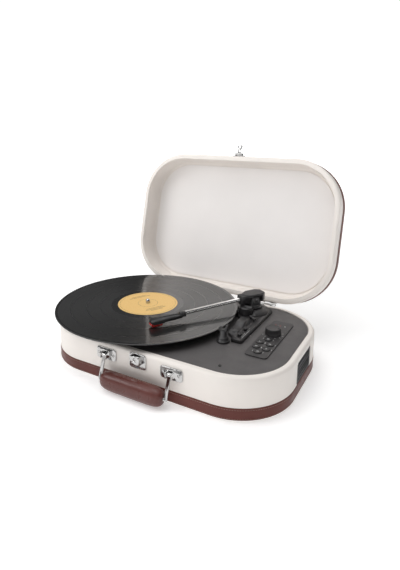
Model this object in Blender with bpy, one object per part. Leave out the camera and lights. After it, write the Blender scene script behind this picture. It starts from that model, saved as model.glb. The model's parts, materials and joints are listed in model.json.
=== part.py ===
"""Suitcase record player with its lid open and its tonearm in the playing position.

The case stands on z = 0 with its front towards -Y. Sizes are given in millimetres times MM.
Each moving group hangs from an empty that sits on its joint's axis.
"""

import math

import bmesh
import bpy
from mathutils import Matrix, Vector

MM = 0.001
GAP = 0.3 * MM

# Case
CASE_WIDTH = 394 * MM
CASE_DEPTH = 256 * MM
CASE_RADIUS = 85 * MM
CASE_BOTTOM = 3 * MM
RIM_Z = 62.3 * MM
WALL = 10 * MM
BULLNOSE = 4.5 * MM
CORNER_STEPS = 8
CENTRE_SHIFT_Y = -38.06 * MM

BAND_HEIGHT = 17.5 * MM
BAND_THICKNESS = 1.4 * MM
BAND_PROUD = 0.2 * MM
BAND_RECESS = 1.5 * MM

# Deck
LEDGE_Z = 58.2 * MM
LEDGE_WIDTH = 6 * MM
DECK_BOTTOM = LEDGE_Z + GAP
DECK_TOP = 61.5 * MM
ON_DECK = DECK_TOP + GAP

# Lid, built closed and turned open about its hinge
LID_OPEN_ANGLE = 103.3
HINGE_OFFSET = 3.5 * MM
HINGE_Y = CASE_DEPTH / 2 + HINGE_OFFSET
HINGE_Z = RIM_Z + 0.2 * MM
HINGE_X = 93 * MM
MOUTH_Z = RIM_Z + 0.4 * MM
LID_TOP = MOUTH_Z + 42.6 * MM
LID_CEILING = LID_TOP - 3.3 * MM
LID_INNER_RADIUS = 5.5 * MM
LID_BAND_PROUD = 0.9 * MM
LINING_INSET = 15.8 * MM

# Platter and its belt drive
PLATTER_X = -72 * MM
PLATTER_RADIUS = 98 * MM
PLATTER_TOP = 71 * MM
MAT_RADIUS = 95 * MM
MAT_THICKNESS = 2.6 * MM
SPINDLE_RADIUS = 3.6 * MM
SPINDLE_TOP = 83.5 * MM
HUB_RADIUS = 62 * MM
PULLEY_RADIUS = 6.2 * MM
PULLEY_DISTANCE = 80 * MM
PULLEY_ANGLE = -60
BELT_Z = (63.1 * MM, 65.3 * MM)

# Tonearm
ARM_X = 84 * MM
ARM_Y = 81 * MM
ARM_AXIS_Z = 89 * MM
ARM_PLAY_ANGLE = -121.85
ARM_PLATE_TOP = 67.5 * MM
ARM_BASE_RADIUS = 29 * MM
ARM_BASE_TOP = 70.0 * MM
YOKE_RADIUS = 15 * MM
YOKE_TOP = 80 * MM
CORE_DROP = 6 * MM
TUBE_Z = 91.3 * MM
TUBE_SLOPE = 2.28
TUBE_RADIUS = 3.3 * MM
TUBE_START = 26.3 * MM
TUBE_END = 128 * MM
HEADSHELL_END = 185.5 * MM
STYLUS_REACH = 180 * MM
STYLUS_TIP_Z = 75.9 * MM
ARM_REST_AT = (87 * MM, -37.5 * MM)
SLIDER_X = 105 * MM
SLIDER_SLOTS = ((-23 * MM, -5 * MM), (-1 * MM, 13 * MM))
LIFT_POST_OFFSET = (-2 * MM, -21 * MM)
LIFT_POST_RADIUS = 11.5 * MM
LIFT_BAR_RADII = (20.3 * MM, 23.3 * MM)
LEVER_AT = (97.5 * MM, 46.5 * MM, 70.9 * MM)
LEVER_HEADING = -46

# Control panel
PANEL_CENTRE = (144 * MM, 5.5 * MM)
PANEL_SIZE = (33 * MM, 127 * MM)
PANEL_TOP = 63.1 * MM
KNOB_AT = (142.8 * MM, 19.5 * MM)
KNOB_RADIUS = 12 * MM
KNOB_TOP = 73.5 * MM
BUTTON_RADIUS = 6.2 * MM
BUTTON_BOTTOM = 62.9 * MM
BUTTON_TOP = 64.4 * MM
BUTTON_PLACES = {
    "button_power": (143.0, -44.0),
    "button_previous": (135.2, -30.0),
    "button_play": (135.2, -14.8),
    "button_mode": (150.9, -31.5),
    "button_next": (150.9, -16.1),
    "button_record": (143.0, -1.5),
}

# Front hardware
FRONT_Y = -CASE_DEPTH / 2
BRACKET_X = 55 * MM
HANDLE_AXIS_Y = FRONT_Y - 5.2 * MM
HANDLE_AXIS_Z = 46.5 * MM
GRIP_CENTRE_Y = -144.2 * MM
GRIP_CENTRE_Z = 16.2 * MM
GRIP_HALF_LENGTH = 56 * MM
GRIP_HALF_HEIGHT = 13.6 * MM
GRIP_HALF_DEPTH = 11.2 * MM
CATCH_Z = 55.4 * MM
KEY_Z = 42.2 * MM
KEY_RADIUS = 3 * MM
KEY_PLUG_LENGTH = 14 * MM
KEY_CAM_RADIUS = 6.5 * MM
HASP_AXIS_Y = FRONT_Y - 4.3 * MM
HASP_AXIS_Z = 69.5 * MM
HASP_REST_ANGLE = -95
HASP_EYE_Z = CATCH_Z - HASP_AXIS_Z

# Sides and underside
GRILLE_SIZE = (65 * MM, 33 * MM)
GRILLE_CENTRE_Z = 37.4 * MM
SPEAKER_CENTRE_Z = 35 * MM
FOOT_PLACES = {
    "foot_front_left": (-140, -88),
    "foot_front_right": (140, -88),
    "foot_rear_left": (-140, 88),
    "foot_rear_right": (140, 88),
}


# ---------------------------------------------------------------- scene helpers

def clear_scene():
    for item in list(bpy.data.objects):
        bpy.data.objects.remove(item)


def material(name, colour, roughness, metallic=0.0):
    finish = bpy.data.materials.new(name)
    finish.use_nodes = True
    shader = finish.node_tree.nodes["Principled BSDF"]
    shader.inputs["Base Color"].default_value = (*colour, 1.0)
    shader.inputs["Roughness"].default_value = roughness
    shader.inputs["Metallic"].default_value = metallic
    return finish


def empty(name, location=(0, 0, 0), rotation=(0, 0, 0), parent=None):
    axis = bpy.data.objects.new(name, None)
    axis.location = location
    axis.rotation_euler = [math.radians(angle) for angle in rotation]
    axis.parent = parent
    bpy.context.collection.objects.link(axis)
    return axis


def solid(name, mesh_data, finish=None, parent=None, location=(0, 0, 0), rotation=(0, 0, 0)):
    """Turns a closed bmesh into an object with outward faces and smooth round sides."""
    bmesh.ops.remove_doubles(mesh_data, verts=mesh_data.verts, dist=1e-7)
    bmesh.ops.recalc_face_normals(mesh_data, faces=mesh_data.faces)
    if mesh_data.calc_volume(signed=True) < 0:
        bmesh.ops.reverse_faces(mesh_data, faces=mesh_data.faces)
    mesh = bpy.data.meshes.new(name)
    mesh_data.to_mesh(mesh)
    mesh_data.free()
    mesh.shade_smooth()
    mesh.set_sharp_from_angle(angle=math.radians(30))
    if finish:
        mesh.materials.append(finish)
    item = bpy.data.objects.new(name, mesh)
    item.location = location
    item.rotation_euler = [math.radians(angle) for angle in rotation]
    item.parent = parent
    bpy.context.collection.objects.link(item)
    return item


def combine(item, operation, tools):
    """Cuts or joins the tool solids with an item; the tools stay as hidden wire guides."""
    for tool in tools:
        tool.parent = item.parent
        tool.hide_render = True
        tool.display_type = "WIRE"
        step = item.modifiers.new(f"{operation.lower()} {tool.name}", "BOOLEAN")
        step.operation = operation
        step.solver = "EXACT"
        step.object = tool
    return item


def cut(item, *tools):
    return combine(item, "DIFFERENCE", tools)


def join(item, *tools):
    return combine(item, "UNION", tools)


# ---------------------------------------------------------------- shape helpers

def arc(centre, radius, start, end, steps):
    """Points on a circle from one angle to another, in degrees, both ends included."""
    angles = [math.radians(start + (end - start) * i / steps) for i in range(steps + 1)]
    return [(centre[0] + radius * math.cos(a), centre[1] + radius * math.sin(a)) for a in angles]


def rounded_rectangle(width, depth, radius, steps=CORNER_STEPS):
    x = width / 2 - radius
    y = depth / 2 - radius
    corners = [((x, -y), -90), ((x, y), 0), ((-x, y), 90), ((-x, -y), 180)]
    outline = []
    for centre, start in corners:
        outline += arc(centre, radius, start, start + 90, steps)
    return outline


def case_outline(inset):
    """The case's plan outline, moved inwards by inset."""
    return rounded_rectangle(
        CASE_WIDTH - 2 * inset, CASE_DEPTH - 2 * inset, CASE_RADIUS - inset)


def loft(loops, closed=False):
    """Joins point loops of equal length; an open loft gets a flat cap at each end."""
    mesh_data = bmesh.new()
    rings = [[mesh_data.verts.new(point) for point in loop] for loop in loops]
    pairs = list(zip(rings, rings[1:]))
    if closed:
        pairs.append((rings[-1], rings[0]))
    else:
        mesh_data.faces.new(rings[0])
        mesh_data.faces.new(rings[-1])
    for lower, upper in pairs:
        for i in range(len(lower)):
            j = (i + 1) % len(lower)
            mesh_data.faces.new((lower[i], lower[j], upper[j], upper[i]))
    return mesh_data


def case_loft(profile, closed=False):
    """Sweeps (inset, z) pairs round the case's outline."""
    loops = [[(x, y, z) for x, y in case_outline(inset)] for inset, z in profile]
    return loft(loops, closed)


def slab(outline, bottom, top, chamfer=0.0):
    """Extrudes an outline upwards, with its top edge chamfered by an inset outline."""
    mesh_data = bmesh.new()
    base = [mesh_data.verts.new((x, y, bottom)) for x, y in outline]
    face = mesh_data.faces.new(base)
    grown = bmesh.ops.extrude_face_region(mesh_data, geom=[face])
    lifted = [item for item in grown["geom"] if isinstance(item, bmesh.types.BMVert)]
    bmesh.ops.translate(mesh_data, verts=lifted, vec=(0, 0, top - bottom))
    if chamfer:
        rim = [edge for edge in mesh_data.edges
               if all(abs(vert.co.z - top) < 1e-7 for vert in edge.verts)]
        bmesh.ops.bevel(mesh_data, geom=rim, offset=chamfer, segments=2, affect="EDGES")
    return mesh_data


def box(low, high, bevel=0.0, segments=1):
    """A block between two corners, with all its edges bevelled."""
    mesh_data = bmesh.new()
    size = Vector(high) - Vector(low)
    middle = (Vector(high) + Vector(low)) / 2
    bmesh.ops.create_cube(mesh_data, size=1)
    bmesh.ops.scale(mesh_data, verts=mesh_data.verts, vec=size)
    bmesh.ops.translate(mesh_data, verts=mesh_data.verts, vec=middle)
    if bevel:
        bmesh.ops.bevel(
            mesh_data, geom=mesh_data.edges[:], offset=bevel, segments=segments, affect="EDGES")
    return mesh_data


def turned(profile, steps, closed=False):
    """Turns (radius, z) pairs about Z; an open profile starts and ends on the axis."""
    mesh_data = bmesh.new()
    rings = []
    for radius, z in profile:
        if radius == 0:
            rings.append([mesh_data.verts.new((0, 0, z))])
        else:
            circle = arc((0, 0), radius, 0, 360, steps)[:-1]
            rings.append([mesh_data.verts.new((x, y, z)) for x, y in circle])
    pairs = list(zip(rings, rings[1:]))
    if closed:
        pairs.append((rings[-1], rings[0]))
    for lower, upper in pairs:
        for i in range(steps):
            j = (i + 1) % steps
            corners = [lower[i % len(lower)], lower[j % len(lower)]]
            corners += [upper[j % len(upper)], upper[i % len(upper)]]
            mesh_data.faces.new(list(dict.fromkeys(corners)))
    return mesh_data


def disc(radius, bottom, top, steps=24, chamfer=0.0):
    profile = [(0, bottom), (radius, bottom), (radius, top - chamfer)]
    if chamfer:
        profile.append((radius - chamfer, top))
    return turned(profile + [(0, top)], steps)


def along(mesh_data, axis):
    """Lays a shape that was turned about Z along the X or the Y axis."""
    turn = Matrix.Rotation(math.radians(90), 3, "Y" if axis == "X" else "X")
    bmesh.ops.rotate(mesh_data, verts=mesh_data.verts, matrix=turn)
    return mesh_data


def moved(mesh_data, offset):
    bmesh.ops.translate(mesh_data, verts=mesh_data.verts, vec=offset)
    return mesh_data


def side_profile(points, low, high, bevel=0.0):
    """Extrudes (along, z) pairs sideways in Y from low to high."""
    mesh_data = bmesh.new()
    near = [mesh_data.verts.new((s, low, z)) for s, z in points]
    face = mesh_data.faces.new(near)
    grown = bmesh.ops.extrude_face_region(mesh_data, geom=[face])
    pushed = [item for item in grown["geom"] if isinstance(item, bmesh.types.BMVert)]
    bmesh.ops.translate(mesh_data, verts=pushed, vec=(0, high - low, 0))
    if bevel:
        bmesh.ops.bevel(mesh_data, geom=mesh_data.edges[:], offset=bevel, segments=1, affect="EDGES")
    return mesh_data


# ---------------------------------------------------------------- case

def build_base(case, finish):
    wall = [(BAND_RECESS, CASE_BOTTOM), (BAND_RECESS, CASE_BOTTOM + BAND_HEIGHT + GAP)]
    wall += [(0, CASE_BOTTOM + BAND_HEIGHT + GAP)]
    wall += [(BULLNOSE - dx, z) for dx, z in arc((0, RIM_Z - BULLNOSE), BULLNOSE, 0, 90, 4)]
    wall += [(WALL - 1 * MM, RIM_Z), (WALL, RIM_Z - 1 * MM), (WALL, LEDGE_Z)]
    wall += [(WALL + LEDGE_WIDTH, LEDGE_Z), (WALL + LEDGE_WIDTH, LEDGE_Z - 3 * MM)]
    wall += [(WALL, LEDGE_Z - 8 * MM), (WALL, CASE_BOTTOM)]
    shell = solid("base_shell", case_loft(wall, closed=True), finish["cream leather"], case)
    reach = CASE_WIDTH / 2 + 5 * MM
    half_y = GRILLE_SIZE[0] / 2 + GAP
    half_z = GRILLE_SIZE[1] / 2 + GAP
    grille_hole = solid("cut_grilles", box(
        (-reach, -half_y, GRILLE_CENTRE_Z - half_z), (reach, half_y, GRILLE_CENTRE_Z + half_z)))
    jack_hole = solid("cut_jack_panel", box(
        (-45 * MM - GAP, CASE_DEPTH / 2 - 15 * MM, 27 * MM - GAP),
        (45 * MM + GAP, CASE_DEPTH / 2 + 5 * MM, 47 * MM + GAP)))
    bore = along(disc(KEY_RADIUS + 0.4 * MM, -WALL - 2 * MM, 2 * MM, 16), "Y")
    lock_hole = solid("cut_lock_bore", moved(bore, (0, FRONT_Y, KEY_Z)))
    cut(shell, grille_hole, jack_hole, lock_hole)

    inner = BAND_THICKNESS - BAND_PROUD
    low = CASE_BOTTOM + 0.2 * MM
    high = CASE_BOTTOM + BAND_HEIGHT
    band = [(inner, low), (0.6 * MM, low), (-BAND_PROUD, low + 0.8 * MM)]
    band += [(-BAND_PROUD, high - 0.5 * MM), (0.3 * MM, high), (inner, high)]
    solid("base_band", case_loft(band, closed=True), finish["brown leather"], case)

    panel = slab(case_outline(WALL + GAP), CASE_BOTTOM, CASE_BOTTOM + 3.5 * MM)
    solid("bottom_panel", panel, finish["black board"], case)

    foot = [(0, 0), (7.5 * MM, 0), (8.5 * MM, 1 * MM), (9 * MM, CASE_BOTTOM - GAP), (0, CASE_BOTTOM - GAP)]
    for name, (x, y) in FOOT_PLACES.items():
        solid(name, turned(foot, 24), finish["rubber"], case, (x * MM, y * MM, 0))


def build_speakers(case, finish):
    width, height = GRILLE_SIZE
    slots = 5
    pitch = height / (slots + 1)
    driver = [(0, -1.5 * MM), (5 * MM, -3 * MM), (12 * MM, -1 * MM), (14 * MM, 0), (16 * MM, 0)]
    driver += [(16 * MM, -1.5 * MM), (9 * MM, -11 * MM), (12 * MM, -11 * MM)]
    driver += [(12 * MM, -19 * MM), (0, -19 * MM)]
    for side, name in ((-1, "left"), (1, "right")):
        outline = rounded_rectangle(height, width, 3 * MM, 3)
        plate = solid(
            f"speaker_grille_{name}", slab(outline, -2.4 * MM, 0, 0.6 * MM), finish["black plastic"], case,
            (side * (CASE_WIDTH / 2 - 0.4 * MM), 0, GRILLE_CENTRE_Z), (0, side * 90, 0))
        for i in range(slots):
            offset = (i + 1) * pitch - height / 2
            slot = box((offset - 1.3 * MM, -27 * MM, -4 * MM), (offset + 1.3 * MM, 27 * MM, 2 * MM))
            tool = solid(f"cut_grille_{name}_{i}", slot)
            cut(plate, tool)
            tool.location = plate.location
            tool.rotation_euler = plate.rotation_euler
        solid(
            f"speaker_{name}", turned(driver[::-1], 20), finish["black metal"], case,
            (side * (CASE_WIDTH / 2 - WALL - GAP), 0, SPEAKER_CENTRE_Z), (0, side * 90, 0))


def build_electronics(case, finish):
    board = solid("circuit_board", box((105 * MM, -60 * MM, 46 * MM), (160 * MM, 30 * MM, 47.6 * MM)),
                  finish["board green"], case)
    posts = []
    for x in (110 * MM, 155 * MM):
        for y in (-55 * MM, 25 * MM):
            post = disc(3 * MM, 47 * MM, LEDGE_Z - 0.1 * MM, 8)
            posts.append(solid(f"join_post_{len(posts)}", moved(post, (x, y, 0))))
    join(board, *posts)

    rear = CASE_DEPTH / 2
    outline = rounded_rectangle(90 * MM, 20 * MM, 3 * MM, 3)
    panel = solid("jack_panel", slab(outline, -2.4 * MM, 0, 0.5 * MM), finish["black plastic"], case,
                  (0, rear - 0.4 * MM, 37 * MM), (-90, 0, 0))
    rings = []
    for x in (-30 * MM, -16 * MM):
        ring = solid(f"join_line_out_{len(rings)}", turned(
            [(4.2 * MM, -1 * MM), (4.2 * MM, 4.5 * MM), (2.2 * MM, 4.5 * MM), (2.2 * MM, -1 * MM)],
            12, closed=True))
        ring.location = panel.location + Vector((x, 0, 0))
        ring.rotation_euler = panel.rotation_euler
        rings.append(ring)
    join(panel, *rings)
    holes = []
    for x, radius in ((2 * MM, 2.6 * MM), (18 * MM, 3.6 * MM)):
        hole = solid(f"cut_socket_{len(holes)}", disc(radius, -4 * MM, 2 * MM, 12))
        hole.location = panel.location + Vector((x, 0, 0))
        hole.rotation_euler = panel.rotation_euler
        holes.append(hole)
    cut(panel, *holes)


def build_deck(case, finish):
    sheet = slab(case_outline(WALL + GAP), DECK_BOTTOM, DECK_TOP)
    deck = solid("deck_plate", sheet, finish["deck leather"], case)
    shaft_hole = solid("cut_motor_shaft", disc(4 * MM, DECK_BOTTOM - 2 * MM, DECK_TOP + 2 * MM, 16))
    cut(deck, shaft_hole)
    shaft_hole.location = pulley_place()
    deck_hole = solid("cut_spindle_seat", disc(4 * MM, DECK_BOTTOM - 2 * MM, DECK_TOP + 2 * MM, 16))
    cut(deck, deck_hole)
    deck_hole.location = (PLATTER_X, 0, 0)


# ---------------------------------------------------------------- lid

def build_lid(lid_axis, finish):
    closed_place = -lid_axis.location
    side_end = LID_TOP - BAND_HEIGHT
    edge = 4.2 * MM
    flange = 9 * MM
    shell = [(flange + GAP, LID_TOP), (flange + GAP, LID_TOP - BAND_RECESS)]
    shell += [(BAND_RECESS + edge - dx, z) for dx, z in arc(
        (0, LID_TOP - BAND_RECESS - edge), edge, 90, 0, 2)]
    shell += [(BAND_RECESS, side_end - GAP), (0, side_end - GAP)]
    shell += [(BULLNOSE - dx, z) for dx, z in arc((0, MOUTH_Z + BULLNOSE), BULLNOSE, 0, -90, 4)]
    shell += [(WALL - 1 * MM, MOUTH_Z), (WALL, MOUTH_Z + 1 * MM)]
    shell += [(WALL + LID_INNER_RADIUS - dx, z) for dx, z in arc(
        (0, LID_CEILING - LID_INNER_RADIUS), LID_INNER_RADIUS, 0, 90, 4)]
    solid("lid_shell", case_loft(shell), finish["cream leather"], lid_axis, closed_place)

    outer = edge + BAND_THICKNESS
    corner_z = LID_TOP - BAND_RECESS - edge
    inner = BAND_RECESS - GAP
    band = [(inner, side_end), (0, side_end), (-LID_BAND_PROUD, side_end + 0.7 * MM)]
    band += [(outer - LID_BAND_PROUD - dx, z) for dx, z in arc((0, corner_z), outer, 0, 90, 3)]
    band += [(flange, corner_z + outer), (flange, corner_z + edge + GAP)]
    band += [(inner + edge + GAP - dx, z) for dx, z in arc((0, corner_z), edge + GAP, 90, 0, 2)]
    solid("lid_band", case_loft(band, closed=True), finish["brown leather"], lid_axis, closed_place)

    top = LID_CEILING - GAP
    lining = [(LINING_INSET, top), (LINING_INSET, top - 0.7 * MM)]
    lining += [(LINING_INSET + 0.7 * MM, top - 1.4 * MM)]
    solid("lid_lining", case_loft(lining), finish["lining cloth"], lid_axis, closed_place)


def build_hinges(case, lid_axis, finish):
    barrel = 2.6 * MM
    clear = barrel + 0.6 * MM
    leaf_back = -HINGE_OFFSET + GAP
    leaf_front = leaf_back + 1.2 * MM
    pin_hole = 1.25 * MM
    for side, name in ((-1, "left"), (1, "right")):
        x = side * HINGE_X
        here = Vector((x, HINGE_Y, HINGE_Z))
        knuckles = {
            "base": [(-15 * MM, -5.6 * MM), (5.6 * MM, 15 * MM)],
            "lid": [(-5.3 * MM, 5.3 * MM)],
        }
        for leaf, spans in knuckles.items():
            up = 1 if leaf == "lid" else -1
            parent = lid_axis if leaf == "lid" else case
            place = here - lid_axis.location if leaf == "lid" else here
            z_near, z_far = sorted((up * clear, up * 17 * MM))
            plate = solid(
                f"hinge_{leaf}_leaf_{name}",
                box((-15 * MM, leaf_back, z_near), (15 * MM, leaf_front, z_far)),
                finish["chrome"], parent, place)
            for i, (start, end) in enumerate(spans):
                tag = f"{leaf}_{name}_{i}"
                tab_z = sorted((0, up * (clear + 0.5 * MM)))
                strip = box((start, leaf_back, tab_z[0]), (end, leaf_front, tab_z[1]))
                tab = solid(f"join_tab_{tag}", strip)
                knuckle = moved(along(disc(barrel, 0, end - start, 16), "X"), (start, 0, 0))
                roll = solid(f"join_knuckle_{tag}", knuckle)
                bore = solid(f"cut_pin_{tag}", moved(
                    along(disc(pin_hole, 0, end - start + 2 * MM, 12), "X"), (start - 1 * MM, 0, 0)))
                join(plate, tab, roll)
                cut(plate, bore)
                for tool in (tab, roll, bore):
                    tool.location = place
        pin = moved(along(disc(1.0 * MM, 0, 31 * MM, 12), "X"), (-15.5 * MM, 0, 0))
        solid(f"hinge_pin_{name}", pin, finish["chrome"], case, here)


# ---------------------------------------------------------------- front hardware

def build_handle(case, finish):
    axis = empty("handle_axis", (0, HANDLE_AXIS_Y, HANDLE_AXIS_Z), parent=case)
    back = FRONT_Y - GAP
    for side, name in ((-1, "left"), (1, "right")):
        x = side * BRACKET_X
        outline = rounded_rectangle(35 * MM, 18 * MM, 4 * MM, 3)
        sheet = slab(outline, 0, 1.4 * MM, 0.4 * MM)
        place = (x, back, HANDLE_AXIS_Z)
        plate = solid(f"handle_bracket_{name}", sheet, finish["chrome"], case, place, (90, 0, 0))
        ears = []
        for i, offset in enumerate((-5.6 * MM, 3.8 * MM)):
            ear = box((offset, -8.2 * MM, -4.5 * MM), (offset + 1.8 * MM, 0.5 * MM, 4.5 * MM), 0.5 * MM)
            ears.append(solid(f"join_ear_{name}_{i}", moved(ear, (x, back - 1 * MM, HANDLE_AXIS_Z))))
        pin = moved(along(disc(1.4 * MM, 0, 10 * MM, 12), "X"), (x - 5 * MM, HANDLE_AXIS_Y, HANDLE_AXIS_Z))
        join(plate, *ears, solid(f"join_pin_{name}", pin))

    drop = GRIP_CENTRE_Z - HANDLE_AXIS_Z
    reach = GRIP_CENTRE_Y - HANDLE_AXIS_Y
    lean = math.degrees(math.atan2(-reach, -drop))
    bar = moved(along(disc(2.2 * MM, 0, 2 * BRACKET_X, 12), "X"), (-BRACKET_X, reach, drop))
    frame = solid("handle_frame", bar, finish["chrome"], axis)
    length = math.hypot(drop, reach)
    for side, name in ((-1, "left"), (1, "right")):
        x = side * BRACKET_X
        strap = solid(f"join_strap_{name}", box(
            (x - 2.6 * MM, -1.1 * MM, -length - 2.2 * MM), (x + 2.6 * MM, 1.1 * MM, -2 * MM), 0.3 * MM))
        strap.rotation_euler = (-math.radians(lean), 0, 0)
        eye = moved(along(disc(3.1 * MM, 0, 5.2 * MM, 16), "X"), (x - 2.6 * MM, 0, 0))
        bore = moved(along(disc(1.7 * MM, 0, 9 * MM, 12), "X"), (x - 4.5 * MM, 0, 0))
        join(frame, strap, solid(f"join_eye_{name}", eye))
        cut(frame, solid(f"cut_eye_{name}", bore))

    steps = 20
    stations = [(-1.0, 0.0), (-0.985, 0.3), (-0.94, 0.55), (-0.86, 0.8), (-0.74, 0.95), (-0.5, 1.0)]
    stations += [(-x, scale) for x, scale in reversed(stations)]
    half = GRIP_HALF_LENGTH - 4 * MM
    loops = []
    for along_x, scale in stations:
        shrink = max(scale, 0.42)
        deep = shrink * GRIP_HALF_DEPTH
        high = shrink * GRIP_HALF_HEIGHT
        loops.append([(along_x * half, reach + deep * y, drop + high * z)
                      for y, z in arc((0, 0), 1, 0, 360, steps)[:-1]])
    grip = solid("handle_grip", loft(loops), finish["brown leather"], axis)
    channel = moved(along(disc(2.2 * MM + GAP, 0, 2 * BRACKET_X, 12), "X"), (-BRACKET_X, reach, drop))
    cut(grip, solid("cut_grip_channel", channel))


def build_latch(case, finish):
    back = FRONT_Y - GAP
    outline = rounded_rectangle(28 * MM, 22.5 * MM, 4 * MM, 3)
    keeper = solid("latch_case", slab(outline, 0, 1.4 * MM, 0.4 * MM), finish["chrome"], case,
                   (0, back, 49.6 * MM), (90, 0, 0))
    housing = solid("join_latch_box", box(
        (-7.5 * MM, back - 8.6 * MM, 46 * MM), (7.5 * MM, back - 1 * MM, 60 * MM), 0.8 * MM))
    mouth = solid("cut_latch_mouth", box(
        (-5.6 * MM, back - 6.6 * MM, 51 * MM), (5.6 * MM, back - 1.8 * MM, 62 * MM)))
    catch_bore = solid("cut_catch_bore", moved(
        along(disc(2.1 * MM, 0, 5 * MM, 12), "Y"), (0, back - 5 * MM, CATCH_Z)))
    seat = moved(along(disc(KEY_RADIUS + GAP, 0, 4 * MM, 16), "Y"), (0, back + 1 * MM, KEY_Z))
    key_seat = solid("cut_key_seat", seat)
    join(keeper, housing)
    cut(keeper, mouth, catch_bore, key_seat)

    catch_axis = empty("latch_catch_axis", (0, back, CATCH_Z), parent=case)
    catch = along(disc(1.8 * MM, 2.4 * MM, 8.4 * MM, 16, 0.3 * MM), "Y")
    solid("latch_catch", catch, finish["chrome"], catch_axis)

    key_axis = empty("key_axis", (0, back, KEY_Z), parent=case)
    plug = [(0, -KEY_PLUG_LENGTH), (KEY_CAM_RADIUS, -KEY_PLUG_LENGTH)]
    plug += [(KEY_CAM_RADIUS, -WALL - 1 * MM), (KEY_RADIUS, -WALL - 1 * MM)]
    plug += [(KEY_RADIUS, 1.6 * MM), (KEY_RADIUS - 0.3 * MM, 1.9 * MM), (0, 1.9 * MM)]
    barrel = solid("lock_cylinder", along(turned(plug, 16), "Y"), finish["dark steel"], key_axis)
    cut(barrel, solid("cut_key_slot", box((-0.6 * MM, -3 * MM, -2 * MM), (0.6 * MM, -1.1 * MM, 2 * MM))))


def build_hasp(lid_axis, finish):
    closed_place = -lid_axis.location
    back = FRONT_Y - GAP
    outline = rounded_rectangle(24 * MM, 13 * MM, 3 * MM, 3)
    plate = solid("hasp_plate", slab(outline, 0, 1.3 * MM, 0.4 * MM), finish["chrome"], lid_axis,
                  closed_place + Vector((0, back, 75 * MM)), (90, 0, 0))
    pin_place = closed_place + Vector((0, HASP_AXIS_Y, HASP_AXIS_Z))
    tools = []
    for i, x in enumerate((-7.4 * MM, 5.4 * MM)):
        ear = box((x, -1.9 * MM, -1.9 * MM), (x + 2 * MM, 3.6 * MM, 4 * MM), 0.4 * MM)
        tools.append(solid(f"join_hasp_ear_{i}", ear))
    tools.append(solid("join_hasp_pin", along(disc(1.1 * MM, -6 * MM, 6 * MM, 12), "X")))
    join(plate, *tools)
    for tool in tools:
        tool.location = pin_place

    axis = empty("hasp_axis", pin_place, (HASP_REST_ANGLE, 0, 0), lid_axis)
    roll = solid("hasp_arm", along(disc(2.3 * MM, -5 * MM, 5 * MM, 16), "X"), finish["chrome"], axis)
    tongue = box((-3.2 * MM, -0.8 * MM, -12 * MM), (3.2 * MM, 0.8 * MM, -1.5 * MM), 0.3 * MM)
    eye = moved(along(disc(4.8 * MM, -0.8 * MM, 0.8 * MM, 20, 0.3 * MM), "Y"), (0, 0, HASP_EYE_Z))
    hole = moved(along(disc(2.2 * MM, -3 * MM, 3 * MM, 16), "Y"), (0, 0, HASP_EYE_Z))
    pin_bore = along(disc(1.4 * MM, -8 * MM, 8 * MM, 12), "X")
    join(roll, solid("join_tongue", tongue), solid("join_hasp_eye", eye))
    cut(roll, solid("cut_hasp_eye", hole), solid("cut_hasp_bore", pin_bore))


# ---------------------------------------------------------------- platter drive

def pulley_place():
    angle = math.radians(PULLEY_ANGLE)
    return (PLATTER_X + PULLEY_DISTANCE * math.cos(angle), PULLEY_DISTANCE * math.sin(angle), 0)


def build_platter(case, finish):
    axis = empty("platter_axis", (PLATTER_X, 0, 0), parent=case)
    bore = SPINDLE_RADIUS + GAP
    plate = [(bore, 64.4 * MM), (HUB_RADIUS - 3 * MM, 64.4 * MM), (HUB_RADIUS - 3 * MM, 62.6 * MM)]
    plate += [(HUB_RADIUS, 62.6 * MM), (HUB_RADIUS, 66.5 * MM), (91 * MM, 66.5 * MM), (91 * MM, 63 * MM)]
    plate += [(PLATTER_RADIUS - 1 * MM, 63 * MM), (PLATTER_RADIUS, 64 * MM), (PLATTER_RADIUS, 70.2 * MM)]
    plate += [(PLATTER_RADIUS - 0.8 * MM, PLATTER_TOP), (bore, PLATTER_TOP)]
    solid("platter", turned(plate, 48, closed=True), finish["black metal"], axis)

    low = PLATTER_TOP + GAP
    high = low + MAT_THICKNESS
    mat = [(bore + 0.6 * MM, low), (MAT_RADIUS, low), (MAT_RADIUS, high - 0.6 * MM)]
    mat += [(MAT_RADIUS - 0.8 * MM, high), (bore + 0.6 * MM, high)]
    solid("slip_mat", turned(mat, 48, closed=True), finish["felt"], axis)

    pin = [(0, 56 * MM), (3.6 * MM, 56 * MM), (3.6 * MM, ON_DECK), (9 * MM, ON_DECK), (9 * MM, 64 * MM)]
    pin += [(SPINDLE_RADIUS, 64 * MM), (SPINDLE_RADIUS, SPINDLE_TOP - 3 * MM)]
    pin += [(1.6 * MM, SPINDLE_TOP - 0.5 * MM)]
    solid("spindle", turned(pin + [(0, SPINDLE_TOP)], 20), finish["chrome"], case, (PLATTER_X, 0, 0))


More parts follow.
